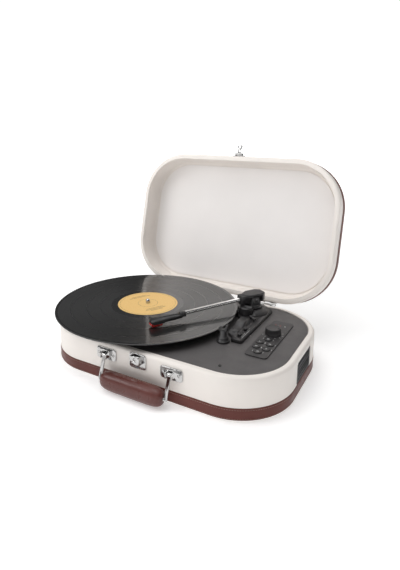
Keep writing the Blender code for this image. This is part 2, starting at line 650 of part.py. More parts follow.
def build_drive(case, finish):
    place = pulley_place()
    axis = empty("pulley_axis", place, parent=case)
    wheel = [(0, 57 * MM), (1.5 * MM, 57 * MM), (1.5 * MM, 61.8 * MM), (PULLEY_RADIUS + 1 * MM, 62.1 * MM)]
    wheel += [(PULLEY_RADIUS, 62.8 * MM), (PULLEY_RADIUS, 65.6 * MM), (PULLEY_RADIUS + 0.8 * MM, 66 * MM)]
    wheel += [(0, 66 * MM)]
    solid("motor_pulley", turned(wheel, 20), finish["brass"], axis)
    can = [(0, 34 * MM), (16 * MM, 34 * MM), (17 * MM, 35 * MM), (17 * MM, LEDGE_Z - 3.2 * MM)]
    can += [(16 * MM, LEDGE_Z - 2.2 * MM), (0, LEDGE_Z - 2.2 * MM)]
    solid("motor", turned(can, 24), finish["dark steel"], case, place)

    thickness = 0.8 * MM
    loops = []
    for grow, z_index in ((GAP, 0), (GAP + thickness, 0), (GAP + thickness, 1), (GAP, 1)):
        loops.append(belt_loop(HUB_RADIUS + grow, PULLEY_RADIUS + grow, BELT_Z[z_index]))
    hub_place = (PLATTER_X, 0, 0)
    solid("drive_belt", loft(loops, closed=True), finish["rubber"], case, hub_place, (0, 0, PULLEY_ANGLE))


def belt_loop(large, small, z):
    """A loop round two circles, the large one at the origin and the small one out on +X."""
    wrap = math.degrees(math.acos((large - small) / PULLEY_DISTANCE))
    loop = arc((0, 0), large, wrap, 360 - wrap, 32)
    loop += arc((PULLEY_DISTANCE, 0), small, -wrap, wrap, 6)
    return [(x, y, z) for x, y in loop]


# ---------------------------------------------------------------- tonearm

def build_arm_plate(case, finish):
    centre = (ARM_X, ARM_Y)
    outline = [(97 * MM, -33 * MM), (111.5 * MM, -33 * MM), (113.5 * MM, -31 * MM), (113.5 * MM, 98 * MM)]
    outline += arc(centre, 31 * MM, 50, 244, 20)
    outline += [(75 * MM, 46 * MM), (84 * MM, 42 * MM), (84 * MM, -14 * MM), (97 * MM, -26 * MM)]
    body = slab(outline, ON_DECK, ARM_PLATE_TOP, 0.8 * MM)
    plate = solid("arm_plate", body, finish["black plastic"], case)
    ramp = [(-17, 66), (-11, 70), (-7, 70), (-6, 68.6), (6, 68.6), (14, 74), (32, 74), (36, 66)]
    hump = side_profile([(y * MM, z * MM) for y, z in ramp], -98.6 * MM, -85.4 * MM, 0.4 * MM)
    bmesh.ops.rotate(hump, verts=hump.verts, matrix=Matrix.Rotation(math.radians(90), 3, "Z"))
    boss = moved(disc(2.8 * MM, 66 * MM, 69.4 * MM, 12, 0.8 * MM), (92 * MM, -12 * MM, 0))
    join(plate, solid("join_ramp", hump), solid("join_plate_boss", boss))
    slots = []
    for i, (low, high) in enumerate(SLIDER_SLOTS):
        slots.append(solid(f"cut_slider_slot_{i}", box(
            (SLIDER_X - 1.6 * MM, low, ARM_PLATE_TOP - 2.6 * MM),
            (SLIDER_X + 1.6 * MM, high, ARM_PLATE_TOP + 3 * MM))))
    slots.append(solid("cut_side_slot", box(
        (110.6 * MM, -27 * MM, ARM_PLATE_TOP - 1 * MM), (112 * MM, 6 * MM, ARM_PLATE_TOP + 1 * MM))))
    cut(plate, *slots)


def build_sliders(case, finish):
    for name, y in (("speed_slider", -18.5 * MM), ("auto_stop_slider", 3.5 * MM)):
        axis = empty(f"{name}_axis", (SLIDER_X, y, ARM_PLATE_TOP), parent=case)
        cap = box((-2.8 * MM, -3.2 * MM, GAP), (2.8 * MM, 3.2 * MM, 3.6 * MM), 0.7 * MM)
        slider = solid(name, cap, finish["black plastic"], axis)
        foot = box((-1.2 * MM, -1.6 * MM, -2.2 * MM), (1.2 * MM, 1.6 * MM, 1.4 * MM))
        join(slider, solid(f"join_foot_{name}", foot))


def build_arm_rest(case, finish):
    x, y = ARM_REST_AT
    foot = [(0, ON_DECK), (9.7 * MM, ON_DECK), (9.7 * MM, 64 * MM), (8.9 * MM, 64.8 * MM)]
    foot += [(8.2 * MM, 64.8 * MM), (8.0 * MM, 68.4 * MM), (7 * MM, 69.6 * MM)]
    foot += [(5.6 * MM, 70 * MM), (4.9 * MM, 79.5 * MM), (0, 79.5 * MM)]
    post = solid("arm_rest", turned(foot, 20), finish["black plastic"], case, (x, y, 0))
    section = [(-6.4, 79), (-6.4, 84), (-4.8, 84), (-3.6, 81.4), (3.6, 81.4), (4.6, 88)]
    section += [(6.4, 88), (6.4, 79), (3, 76), (-3, 76)]
    fork = side_profile([(px * MM, pz * MM) for px, pz in section], -3 * MM, 3 * MM)
    head = solid("join_fork", fork)
    join(post, head)
    head.location = (x, y, 0)


def build_arm_base(case, finish):
    bore = 6.3 * MM
    ring = [(bore, ARM_PLATE_TOP + GAP), (ARM_BASE_RADIUS, ARM_PLATE_TOP + GAP)]
    ring += [(ARM_BASE_RADIUS, 68.8 * MM), (ARM_BASE_RADIUS - 2 * MM, 69.6 * MM)]
    ring += [(YOKE_RADIUS + 3 * MM, 73.2 * MM), (YOKE_RADIUS + 0.9 * MM, 73.6 * MM)]
    ring += [(YOKE_RADIUS + 0.9 * MM, ARM_BASE_TOP), (bore, ARM_BASE_TOP)]
    place = (ARM_X, ARM_Y, 0)
    base = solid("arm_base", turned(ring, 32, closed=True), finish["black plastic"], case, place)
    notch = solid("cut_lift_notch", slab(lift_post_outline(0.5 * MM), 65 * MM, 76 * MM))
    cut(base, notch)
    notch.location = place


def build_arm(case, finish):
    swing = empty("arm_swing_axis", (ARM_X, ARM_Y, ARM_AXIS_Z), (0, 0, ARM_PLAY_ANGLE), case)
    cup_top = YOKE_TOP - ARM_AXIS_Z
    cup = [(0, 68 * MM), (6 * MM, 68 * MM), (6 * MM, ARM_BASE_TOP + GAP), (YOKE_RADIUS, ARM_BASE_TOP + GAP)]
    cup += [(YOKE_RADIUS, YOKE_TOP - 2 * MM), (YOKE_RADIUS - 2 * MM, YOKE_TOP), (0, YOKE_TOP)]
    yoke = solid("arm_yoke", moved(turned(cup, 28), (0, 0, -ARM_AXIS_Z)), finish["black plastic"], swing)
    for i, side in enumerate((-1, 1)):
        low, high = sorted((side * 8.3 * MM, side * 11.3 * MM))
        cheek = [(-9 * MM, cup_top - 1 * MM), (-8 * MM, 3.4 * MM), (-6.6 * MM, 4.4 * MM)]
        cheek += [(6.6 * MM, 4.4 * MM), (8 * MM, 3.4 * MM), (11 * MM, cup_top - 1 * MM)]
        join(yoke, solid(f"join_cheek_{i}", side_profile(cheek, low, high)))
    cut(yoke, solid("cut_yoke_pin", along(disc(1.75 * MM, -16 * MM, 16 * MM, 12), "Y")))

    lift = empty("arm_lift_axis", parent=swing)
    pin = [(0, -11.6 * MM), (1.5 * MM, -11.6 * MM), (1.5 * MM, 11.5 * MM)]
    pin += [(2.6 * MM, 11.5 * MM), (2.6 * MM, 12.4 * MM), (0, 12.4 * MM)]
    solid("arm_pivot_pin", along(turned(pin, 12), "Y"), finish["chrome"], swing)
    build_counterweight(lift, finish)

    tube = [(0, TUBE_START), (TUBE_RADIUS, TUBE_START), (TUBE_RADIUS, TUBE_END - GAP), (0, TUBE_END - GAP)]
    solid("arm_tube", along(turned(tube, 16), "X"), finish["satin metal"], lift,
          (0, 0, TUBE_Z - ARM_AXIS_Z), (0, TUBE_SLOPE, 0))
    build_headshell(lift, finish)


def build_counterweight(lift, finish):
    outline = [(-20, -7), (-12, -12.4), (8, -12.4), (20.5, -4.5)]
    outline += [(s, -n) for s, n in reversed(outline)]
    cap = slab([(s * MM, n * MM) for s, n in outline], 5 * MM, 9.5 * MM, 1.2 * MM)
    block = solid("counterweight", cap, finish["black plastic"], lift)
    tail = [(-20, -7), (-12, -12.4), (-9.6, -12.4), (-9.6, 12.4), (-12, 12.4), (-20, 7)]
    weight = slab([(s * MM, n * MM) for s, n in tail], -3.6 * MM, 6 * MM)
    core = box((-12 * MM, -7.6 * MM, -CORE_DROP), (TUBE_START - GAP, 7.6 * MM, 8 * MM), 0.6 * MM)
    join(block, solid("join_tail", weight), solid("join_core", core))
    cut(block, solid("cut_block_pin", along(disc(1.8 * MM, -16 * MM, 16 * MM, 12), "Y")))


def build_headshell(lift, finish):
    tube_end_z = TUBE_Z - ARM_AXIS_Z - math.sin(math.radians(TUBE_SLOPE)) * TUBE_END
    collar = along(disc(4.7 * MM, TUBE_END, TUBE_END + 9.5 * MM, 16, 0.6 * MM), "X")
    shell = solid("headshell", moved(collar, (0, 0, tube_end_z)), finish["black plastic"], lift)
    neck = TUBE_END + 6 * MM
    outline = [(neck, -4.2 * MM), (neck + 14 * MM, -6 * MM), (HEADSHELL_END - 3 * MM, -6.8 * MM)]
    outline += [(HEADSHELL_END, -4.5 * MM)]
    outline += [(s, -n) for s, n in reversed(outline)]
    blade = solid("join_blade", slab(outline, tube_end_z - 4.2 * MM, tube_end_z + 0.6 * MM, 0.8 * MM))
    lug = solid("join_finger_lift", box(
        (HEADSHELL_END - 8 * MM, -15 * MM, tube_end_z - 1.6 * MM),
        (HEADSHELL_END - 3 * MM, -6 * MM, tube_end_z - 0.2 * MM), 0.3 * MM))
    join(shell, blade, lug)

    under = tube_end_z - 4.2 * MM - GAP
    tip = STYLUS_TIP_Z - ARM_AXIS_Z
    back = HEADSHELL_END - 21 * MM
    front = HEADSHELL_END - 4 * MM
    low = under - 1.4 * MM
    body = box((back, -5.8 * MM, low), (front, 5.8 * MM, under), 0.4 * MM)
    solid("cartridge", body, finish["black plastic"], lift)
    guard = [(back + 3 * MM, low - GAP), (front + 0.4 * MM, low - GAP)]
    guard += [(front + 0.4 * MM, under - 0.3 * MM)]
    guard += [(HEADSHELL_END - 0.6 * MM, under - 0.3 * MM), (HEADSHELL_END + 0.6 * MM, low - 0.6 * MM)]
    guard += [(HEADSHELL_END - 1.6 * MM, low - 3.2 * MM), (back + 4.4 * MM, low - 3.0 * MM)]
    stylus = solid("stylus", side_profile(guard, -5.2 * MM, 5.2 * MM), finish["red plastic"], lift)
    needle = turned([(0, tip), (0.7 * MM, low - 1 * MM), (0, low - 1 * MM)], 8)
    join(stylus, solid("join_needle", moved(needle, (STYLUS_REACH, 0, 0))))


def lift_post_outline(margin):
    """A disc with the turret's room taken out of it, about the turret's axis."""
    reach = LIFT_POST_RADIUS + margin
    room = YOKE_RADIUS + 1.6 * MM - margin
    centre = Vector(LIFT_POST_OFFSET)
    split = (room ** 2 - reach ** 2 + centre.length ** 2) / (2 * centre.length)
    half = math.degrees(math.acos(split / room))
    back = math.degrees(math.acos((centre.length - split) / reach))
    heading = math.degrees(math.atan2(centre.y, centre.x))
    outer = arc(centre, reach, heading + 180 + back, heading + 540 - back, 18)
    inner = arc((0, 0), room, heading + half, heading - half, 8)
    return outer + inner[1:-1]


def build_lifter(case, finish):
    """The cue lever, and the post with the curved bar that it raises under the arm's block."""
    top = ARM_AXIS_Z - CORE_DROP - 0.4 * MM
    under_bar = top - 3 * MM
    inner, outer = LIFT_BAR_RADII
    start, end = ARM_PLAY_ANGLE - 22, ARM_PLAY_ANGLE + 58
    section = arc((0, 0), inner, start, end, 12) + arc((0, 0), outer, end, start, 12)
    axis = empty("lift_bar_axis", (ARM_X, ARM_Y, 0), parent=case)
    post = slab(lift_post_outline(0), ARM_PLATE_TOP + 2 * GAP, under_bar + 0.5 * MM, 0.8 * MM)
    lifter = solid("lift_bar", post, finish["black plastic"], axis)
    join(lifter, solid("join_curved_bar", slab(section, under_bar, top, 0.3 * MM)))

    lever_axis = empty("lift_lever_axis", LEVER_AT, (0, 0, LEVER_HEADING), case)
    barrel = along(disc(2.6 * MM, -4 * MM, 4 * MM, 16), "Y")
    hub = solid("lift_lever", barrel, finish["black plastic"], lever_axis)
    stalk = side_profile([(s * MM, z * MM) for s, z in (
        (0, -1.6), (8, -2.2), (12.5, -1), (12.5, 0.8), (8, 0.4), (0, 1.8))], -2.2 * MM, 2.2 * MM)
    join(hub, solid("join_lever_stalk", stalk))


# ---------------------------------------------------------------- controls

def build_controls(case, finish):
    x, y = PANEL_CENTRE
    outline = rounded_rectangle(*PANEL_SIZE, 6 * MM, 4)
    plate = slab(outline, ON_DECK, PANEL_TOP, 0.4 * MM)
    panel = solid("control_panel", plate, finish["black plastic"], case, (x, y, 0))
    for name, (button_x, button_y) in BUTTON_PLACES.items():
        place = (button_x * MM, button_y * MM, 0)
        bore = disc(BUTTON_RADIUS + 0.35 * MM, ON_DECK - 2 * MM, PANEL_TOP + 2 * MM, 20)
        hole = solid(f"cut_{name}", bore)
        cut(panel, hole)
        hole.location = place
        cap = disc(BUTTON_RADIUS, BUTTON_BOTTOM, BUTTON_TOP, 20, 0.5 * MM)
        solid(name, cap, finish["black plastic"], case, place)

    low = PANEL_TOP + 0.4 * MM
    profile = [(0, low), (KNOB_RADIUS, low), (KNOB_RADIUS - 0.5 * MM, KNOB_TOP - 0.9 * MM)]
    profile += [(KNOB_RADIUS - 1.4 * MM, KNOB_TOP), (0, KNOB_TOP)]
    knob = solid("volume_knob", turned(profile, 32), finish["black plastic"], case, (*KNOB_AT, 0))
    low_corner = (KNOB_RADIUS - 5 * MM, -0.9 * MM, KNOB_TOP - 1.4 * MM)
    high_corner = (KNOB_RADIUS + 2 * MM, 0.9 * MM, KNOB_TOP + 1 * MM)
    notch = solid("cut_knob_pointer", box(low_corner, high_corner))
    cut(knob, notch)
    notch.location = knob.location


# ---------------------------------------------------------------- whole object

def finishes():
    return {
        "cream leather": material("cream leather", (0.80, 0.75, 0.70), 0.55),
        "brown leather": material("brown leather", (0.16, 0.045, 0.035), 0.45),
        "lining cloth": material("lining cloth", (0.83, 0.81, 0.78), 0.85),
        "deck leather": material("deck leather", (0.10, 0.095, 0.095), 0.6),
        "black plastic": material("black plastic", (0.03, 0.03, 0.032), 0.4),
        "black metal": material("black metal", (0.04, 0.04, 0.042), 0.35, 0.6),
        "black board": material("black board", (0.03, 0.03, 0.03), 0.8),
        "board green": material("board green", (0.02, 0.16, 0.07), 0.5),
        "red plastic": material("red plastic", (0.55, 0.03, 0.03), 0.35),
        "felt": material("felt", (0.05, 0.05, 0.05), 0.95),
        "rubber": material("rubber", (0.03, 0.03, 0.03), 0.8),
        "chrome": material("chrome", (0.78, 0.78, 0.78), 0.15, 1.0),
        "satin metal": material("satin metal", (0.72, 0.72, 0.73), 0.3, 1.0),
        "dark steel": material("dark steel", (0.25, 0.25, 0.26), 0.4, 1.0),
        "brass": material("brass", (0.70, 0.52, 0.25), 0.3, 1.0),
    }


def build_player():
    clear_scene()
    finish = finishes()
    case = empty("case", (0, CENTRE_SHIFT_Y, 0))
    lid_axis = empty("lid_axis", (0, HINGE_Y, HINGE_Z), (-LID_OPEN_ANGLE, 0, 0), case)
    build_base(case, finish)
    build_speakers(case, finish)
    build_electronics(case, finish)
    build_deck(case, finish)
    build_lid(lid_axis, finish)
    build_hinges(case, lid_axis, finish)
    build_handle(case, finish)
    build_latch(case, finish)
    build_hasp(lid_axis, finish)
    build_platter(case, finish)
    build_drive(case, finish)
    build_arm_plate(case, finish)
    build_sliders(case, finish)
    build_arm_rest(case, finish)
    build_arm_base(case, finish)
    build_arm(case, finish)
    build_lifter(case, finish)
    build_controls(case, finish)
    bpy.context.view_layer.update()


build_player()
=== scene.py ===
"""Looks of the suitcase record player: leather, stitching, chrome, printed marks and the studio.

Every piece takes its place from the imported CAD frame, in metres. Shells and turned parts are
built again here with fine curves; the other CAD nodes are copied, cleaned and given soft edges.
"""

import json
import math

import bmesh
import bpy
from mathutils import Matrix, Vector

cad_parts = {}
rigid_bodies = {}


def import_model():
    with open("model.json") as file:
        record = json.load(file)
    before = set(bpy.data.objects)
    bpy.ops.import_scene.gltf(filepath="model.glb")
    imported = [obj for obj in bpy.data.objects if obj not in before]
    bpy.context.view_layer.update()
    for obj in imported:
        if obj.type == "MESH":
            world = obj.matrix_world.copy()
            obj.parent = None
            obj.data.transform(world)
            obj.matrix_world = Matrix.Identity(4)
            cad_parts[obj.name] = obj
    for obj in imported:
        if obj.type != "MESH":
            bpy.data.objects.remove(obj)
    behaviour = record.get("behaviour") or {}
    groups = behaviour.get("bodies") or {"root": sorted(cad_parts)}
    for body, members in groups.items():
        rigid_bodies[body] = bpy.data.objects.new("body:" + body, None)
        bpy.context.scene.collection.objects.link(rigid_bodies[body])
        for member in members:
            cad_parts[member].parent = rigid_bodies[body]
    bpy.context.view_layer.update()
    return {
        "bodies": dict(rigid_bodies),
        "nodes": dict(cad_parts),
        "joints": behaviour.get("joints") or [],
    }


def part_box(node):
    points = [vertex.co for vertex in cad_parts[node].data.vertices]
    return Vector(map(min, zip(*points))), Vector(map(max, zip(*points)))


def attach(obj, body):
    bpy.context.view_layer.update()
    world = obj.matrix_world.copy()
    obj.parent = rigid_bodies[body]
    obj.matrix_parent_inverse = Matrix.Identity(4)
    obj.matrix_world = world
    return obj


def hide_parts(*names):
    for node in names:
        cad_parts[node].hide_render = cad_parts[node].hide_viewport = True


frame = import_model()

MM = 0.001
GAP = 0.3 * MM  # clearance between neighbours
JOINTS = {joint["name"]: joint for joint in frame["joints"]}


def middle(node):
    low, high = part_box(node)
    return (low + high) / 2


def size_of(node):
    low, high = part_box(node)
    return high - low


# Case, from the boxes of its CAD nodes
SHELL_LOW, SHELL_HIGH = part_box("base_shell")
CASE_WIDTH = SHELL_HIGH.x - SHELL_LOW.x
CASE_DEPTH = SHELL_HIGH.y - SHELL_LOW.y
CASE_Y = middle("base_shell").y
CASE_RADIUS = 85 * MM
CORNER_STEPS = 28
WALL = 10 * MM
BULLNOSE = 4.5 * MM
RIM_Z = SHELL_HIGH.z
BASE_BOTTOM = SHELL_LOW.z
BAND_LOW, BAND_HIGH = (corner.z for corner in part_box("base_band"))
BAND_PROUD = 0.2 * MM
BAND_RECESS = 1.5 * MM
DECK_BOTTOM, DECK_TOP = (corner.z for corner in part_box("deck_plate"))
LEDGE_Z = DECK_BOTTOM - GAP
LEDGE_WIDTH = 6 * MM

# Lid, drawn closed and turned open about its hinge
HINGE = Vector(JOINTS["lid_hinge"]["pos_m"])
LID_TURN = (Matrix.Translation(HINGE)
            @ Matrix.Rotation(math.radians(JOINTS["lid_hinge"]["range_deg"][0]), 4, "X")
            @ Matrix.Translation(-HINGE))
MOUTH_Z = RIM_Z + 0.4 * MM
LID_TOP = MOUTH_Z + 42.6 * MM
LID_CEILING = LID_TOP - 3.3 * MM
LID_INNER_RADIUS = 5.5 * MM
LID_BAND_PROUD = 0.9 * MM
LINING_INSET = 15.8 * MM
LID_BAND_HEIGHT = 17.5 * MM

# The grip's roll
GRIP_SEAM = math.radians(68)
GRIP_SQUARENESS = 0.85

# Camera, as angles in degrees about the object and a place in the row frame
CAMERA_AZIMUTH = 29.07
CAMERA_ELEVATION = 12.44
CAMERA_ROLL = 0.55
CAMERA_PLACE = (344.6 * MM, -629.7 * MM, 366.6 * MM)
CAMERA_FOCAL_LENGTH = 28.6
CAMERA_SHIFT = (0.0105, -0.10175)

# Thread of the bands and the grip
STITCH_PITCH = 3.4 * MM
STITCH_LENGTH = 2.5 * MM
THREAD_RADIUS = 0.34 * MM

PLATTER = middle("platter")
ARM_PIVOT = Vector(JOINTS["arm_swing"]["pos_m"])
ARM_HEADING = math.atan2(middle("headshell").y - ARM_PIVOT.y, middle("headshell").x - ARM_PIVOT.x)
ARM_SLOPE = 2.28
TUBE_RISE = 2.3 * MM

# Controls, from left to right and from the knob to the front
KEYS = ("power", "previous", "play", "mode", "next", "record")

# Record that lies on the platter, which isn't a part of the player
LP_RADIUS = 151 * MM
LP_THICKNESS = 1.7 * MM
LABEL_RADIUS = 50 * MM


# ---------------------------------------------------------------- node materials

def node_material(name):
    finish = bpy.data.materials.new(name)
    finish.use_nodes = True
    tree = finish.node_tree
    return finish, tree, tree.nodes["Principled BSDF"]


def add(tree, kind, **values):
    """A node with its inputs or properties set by name."""
    node = tree.nodes.new(kind)
    for key, value in values.items():
        label = key.replace("_", " ").title()
        if label in node.inputs:
            node.inputs[label].default_value = value
        else:
            setattr(node, key, value)
    return node


def link(source, socket):
    socket.id_data.links.new(source, socket)


def coordinates(tree):
    return add(tree, "ShaderNodeTexCoord").outputs["Object"]


def ramp(tree, source, stops):
    """A colour ramp over a 0 to 1 source, with grey or RGB stops."""
    node = add(tree, "ShaderNodeValToRGB")
    link(source, node.inputs["Fac"])
    elements = node.color_ramp.elements
    while len(elements) < len(stops):
        elements.new(0.5)
    for element, (place, colour) in zip(elements, stops):
        element.position = place
        shade = (colour, colour, colour) if isinstance(colour, (int, float)) else colour
        element.color = (*shade, 1.0)
    return node.outputs["Color"]


def noise(tree, scale, detail=4.0, rough=0.55, where=None):
    node = add(tree, "ShaderNodeTexNoise", scale=scale, detail=detail, roughness=rough)
    link(where or coordinates(tree), node.inputs["Vector"])
    return node.outputs["Fac"]


def bump(tree, shader, height, strength, distance, under=None):
    node = add(tree, "ShaderNodeBump", strength=strength, distance=distance)
    link(height, node.inputs["Height"])
    if under:
        link(under, node.inputs["Normal"])
    link(node.outputs["Normal"], shader.inputs["Normal"])
    return node.outputs["Normal"]


def shades(colour, spread):
    """The colour made a little darker and a little lighter."""
    return [tuple(channel * (1 - spread) for channel in colour),
            tuple(min(1.0, channel * (1 + spread)) for channel in colour)]


def tint(tree, shader, pattern, colour, spread, low=0.3, high=0.7):
    """Lets a pattern move the base colour between a darker and a lighter shade."""
    dark, light = shades(colour, spread)
    link(ramp(tree, pattern, [(low, dark), (high, light)]), shader.inputs["Base Color"])


def leather(name, colour, grain, depth, roughness, spread=0.06, shine=0.5):
    """Grained leatherette: a cell pattern for the grain, fine pores and a slow change of colour."""
    finish, tree, shader = node_material(name)
    where = coordinates(tree)
    tint(tree, shader, noise(tree, 14, 5, 0.6, where), colour, spread)
    cells = add(tree, "ShaderNodeTexVoronoi", feature="DISTANCE_TO_EDGE", scale=grain)
    warp = add(tree, "ShaderNodeTexNoise", scale=grain * 0.6, detail=2.0)
    mix = add(tree, "ShaderNodeMix", data_type="VECTOR")
    mix.inputs["Factor"].default_value = 0.0012
    link(where, warp.inputs["Vector"])
    link(where, mix.inputs["A"])
    link(warp.outputs["Color"], mix.inputs["B"])
    link(mix.outputs["Result"], cells.inputs["Vector"])
    creases = ramp(tree, cells.outputs["Distance"], [(0.0, 0.0), (0.22, 1.0)])
    coarse = bump(tree, shader, creases, depth, 0.12 * MM)
    pores = noise(tree, grain * 3.2, 3, 0.7, where)
    bump(tree, shader, pores, depth * 0.55, 0.06 * MM, coarse)
    worn = ramp(tree, noise(tree, 60, 4, 0.6, where), [(0.3, roughness - 0.07), (0.7, roughness + 0.08)])
    link(worn, shader.inputs["Roughness"])
    shader.inputs["Specular IOR Level"].default_value = shine
    return finish


def plastic(name, colour, roughness, texture=900, depth=0.12):
    """Moulded plastic with a fine spark texture and faint handling marks."""
    finish, tree, shader = node_material(name)
    where = coordinates(tree)
    tint(tree, shader, noise(tree, 45, 4, 0.6, where), colour, 0.12)
    marks = ramp(tree, noise(tree, 120, 6, 0.7, where),
                 [(0.35, roughness - 0.05), (0.75, roughness + 0.09)])
    link(marks, shader.inputs["Roughness"])
    bump(tree, shader, noise(tree, texture, 2, 0.5, where), depth, 0.05 * MM)
    return finish


def metal(name, colour, roughness, stretch=(1, 1, 1), wear=0.05, depth=0.03):
    """Plated or brushed metal: stretched noise gives the brushing, a finer one the hairline wear."""
    finish, tree, shader = node_material(name)
    shader.inputs["Metallic"].default_value = 1.0
    scaled = add(tree, "ShaderNodeMapping")
    scaled.inputs["Scale"].default_value = stretch
    link(coordinates(tree), scaled.inputs["Vector"])
    where = scaled.outputs["Vector"]
    tint(tree, shader, noise(tree, 80, 4, 0.6, where), colour, 0.05)
    rough = ramp(tree, noise(tree, 260, 5, 0.7, where), [(0.35, roughness), (0.75, roughness + wear)])
    link(rough, shader.inputs["Roughness"])
    bump(tree, shader, noise(tree, 700, 2, 0.5, where), depth, 0.02 * MM)
    return finish


def felt_material(name, colour):
    """Felt: tangled fibres from fine noise, with a soft sheen."""
    finish, tree, shader = node_material(name)
    where = coordinates(tree)
    fibres = noise(tree, 1500, 5, 0.8, where)
    tint(tree, shader, fibres, colour, 0.35)
    shader.inputs["Roughness"].default_value = 0.95
    shader.inputs["Sheen Weight"].default_value = 0.35
    bump(tree, shader, fibres, 0.5, 0.15 * MM)
    return finish


def cloth_material(name, colour):
    """Smooth woven lining: two crossed fine waves under a slow tint."""
    finish, tree, shader = node_material(name)
    where = coordinates(tree)
    tint(tree, shader, noise(tree, 9, 3, 0.5, where), colour, 0.02, 0.35, 0.65)
    shader.inputs["Roughness"].default_value = 0.82
    shader.inputs["Sheen Weight"].default_value = 0.15
    warp = add(tree, "ShaderNodeTexWave", scale=330.0, distortion=0.6, bands_direction="X")
    weft = add(tree, "ShaderNodeTexWave", scale=330.0, distortion=0.6, bands_direction="Z")
    for thread in (warp, weft):
        link(where, thread.inputs["Vector"])
    cross = add(tree, "ShaderNodeMath", operation="ADD")
    link(warp.outputs["Fac"], cross.inputs[0])
    link(weft.outputs["Fac"], cross.inputs[1])
    bump(tree, shader, cross.outputs["Value"], 0.12, 0.05 * MM)
    return finish


def translucent_red(name):
    finish, tree, shader = node_material(name)
    link(ramp(tree, noise(tree, 300, 3), [(0.3, (0.42, 0.012, 0.012)), (0.7, (0.58, 0.03, 0.025))]),
         shader.inputs["Base Color"])
    shader.inputs["Roughness"].default_value = 0.22
    shader.inputs["Subsurface Weight"].default_value = 0.15
    shader.inputs["Subsurface Radius"].default_value = (1 * MM, 0.3 * MM, 0.2 * MM)
    return finish


def print_ink(name, colour, glow=0.0):
    """Screen print or a lamp lens: slightly uneven cover."""
    finish, tree, shader = node_material(name)
    dark, light = shades(colour, 0.15)
    source = ramp(tree, noise(tree, 900, 3), [(0.35, dark), (0.6, light)])
    link(source, shader.inputs["Base Color"])
    shader.inputs["Roughness"].default_value = 0.5
    if glow:
        link(source, shader.inputs["Emission Color"])
        shader.inputs["Emission Strength"].default_value = glow
    return finish


def make_finishes():
    """Every material by its look's name."""
    return {
        "cream": leather("cream leatherette", (0.85, 0.80, 0.755), 900, 0.10, 0.50, 0.025),
        "brown": leather("brown leatherette", (0.125, 0.036, 0.029), 620, 0.28, 0.36, 0.16, 0.22),
        "grip": leather("padded brown leather", (0.110, 0.032, 0.026), 560, 0.12, 0.30, 0.15, 0.42),
        "deck": leather("deck leatherette", (0.085, 0.080, 0.080), 520, 0.45, 0.52, 0.12),
        "lining": cloth_material("lid lining", (0.88, 0.85, 0.835)),
        "thread": leather("brown thread", (0.27, 0.15, 0.12), 2600, 0.4, 0.6, 0.2),
        "plastic": plastic("black plastic", (0.022, 0.021, 0.022), 0.36),
        "plate": plastic("graphite plastic", (0.036, 0.034, 0.035), 0.42, 1300, 0.2),
        "rubber": plastic("rubber", (0.02, 0.02, 0.02), 0.75, 1800, 0.3),
        "board": plastic("stained board", (0.03, 0.028, 0.027), 0.7, 250, 0.5),
        "solder": plastic("solder mask", (0.02, 0.14, 0.06), 0.4, 500, 0.2),
        "grille": plastic("grille plastic", (0.010, 0.010, 0.010), 0.5),
        "paint": metal("black painted metal", (0.035, 0.035, 0.037), 0.42, depth=0.15),
        "chrome": metal("chrome plate", (0.50, 0.495, 0.49), 0.10),
        "satin": metal("satin tube", (0.74, 0.73, 0.72), 0.20, (3, 3, 0.2), 0.08),
        "dark steel": metal("dark steel", (0.20, 0.20, 0.21), 0.30, (1, 1, 8), 0.12),
        "brass": metal("turned brass", (0.66, 0.47, 0.22), 0.22, (1, 1, 10), 0.1),
        "felt": felt_material("slip mat felt", (0.045, 0.044, 0.045)),
        "red": translucent_red("stylus red"),
        "ink": print_ink("white print", (0.62, 0.62, 0.62)),
        "red lamp": print_ink("red lamp lens", (0.30, 0.05, 0.045), 0.15),
        "red ring": plastic("red ring", (0.45, 0.02, 0.02), 0.4),
        "white ring": plastic("white ring", (0.7, 0.7, 0.68), 0.4),
        # near-black plastic used as painted shade for the dark inside of hollows
        "painted_shade": plastic("painted hollow shade", (0.008, 0.008, 0.008), 0.8),
    }


FINISHES = make_finishes()

# The black_plastic material slot that these looks stand for; the table is made here and not kept
dict.fromkeys(
    ("plastic", "plate", "grille", "ink", "red lamp", "red ring", "white ring", "painted_shade"), "black_plastic")


# ---------------------------------------------------------------- shape helpers

def in_mm(*points):
    """Points given in millimetres, as metres."""
    return [tuple(value * MM for value in point) for point in points]


def arc(centre, radius, start, end, steps):
    """Points on a circle from one angle to another, in degrees, both ends included."""
    angles = [math.radians(start + (end - start) * i / steps) for i in range(steps + 1)]
    return [(centre[0] + radius * math.cos(a), centre[1] + radius * math.sin(a)) for a in angles]


def rounded_rectangle(width, depth, radius, steps=CORNER_STEPS):
    x = width / 2 - radius
    y = depth / 2 - radius
    outline = []
    for centre, start in (((x, -y), -90), ((x, y), 0), ((-x, y), 90), ((-x, -y), 180)):
        outline += arc(centre, radius, start, start + 90, steps)
    return outline


def case_outline(inset):
    outline = rounded_rectangle(CASE_WIDTH - 2 * inset, CASE_DEPTH - 2 * inset, CASE_RADIUS - inset)
    return [(x, y + CASE_Y) for x, y in outline]


def loft(loops, closed=False):
    """Joins point loops of equal length; an open loft gets a flat cap at each end."""
    mesh_data = bmesh.new()
    rings = [[mesh_data.verts.new(point) for point in loop] for loop in loops]
    pairs = list(zip(rings, rings[1:]))
    if closed:
        pairs.append((rings[-1], rings[0]))
    else:
        mesh_data.faces.new(rings[0])
        mesh_data.faces.new(rings[-1])
    for lower, upper in pairs:
        for i in range(len(lower)):
            j = (i + 1) % len(lower)
            mesh_data.faces.new((lower[i], lower[j], upper[j], upper[i]))
    return mesh_data


def case_loft(profile, closed=False):
    """Sweeps (inset, z) pairs round the case's outline."""
    return loft([[(x, y, z) for x, y in case_outline(inset)] for inset, z in profile], closed)


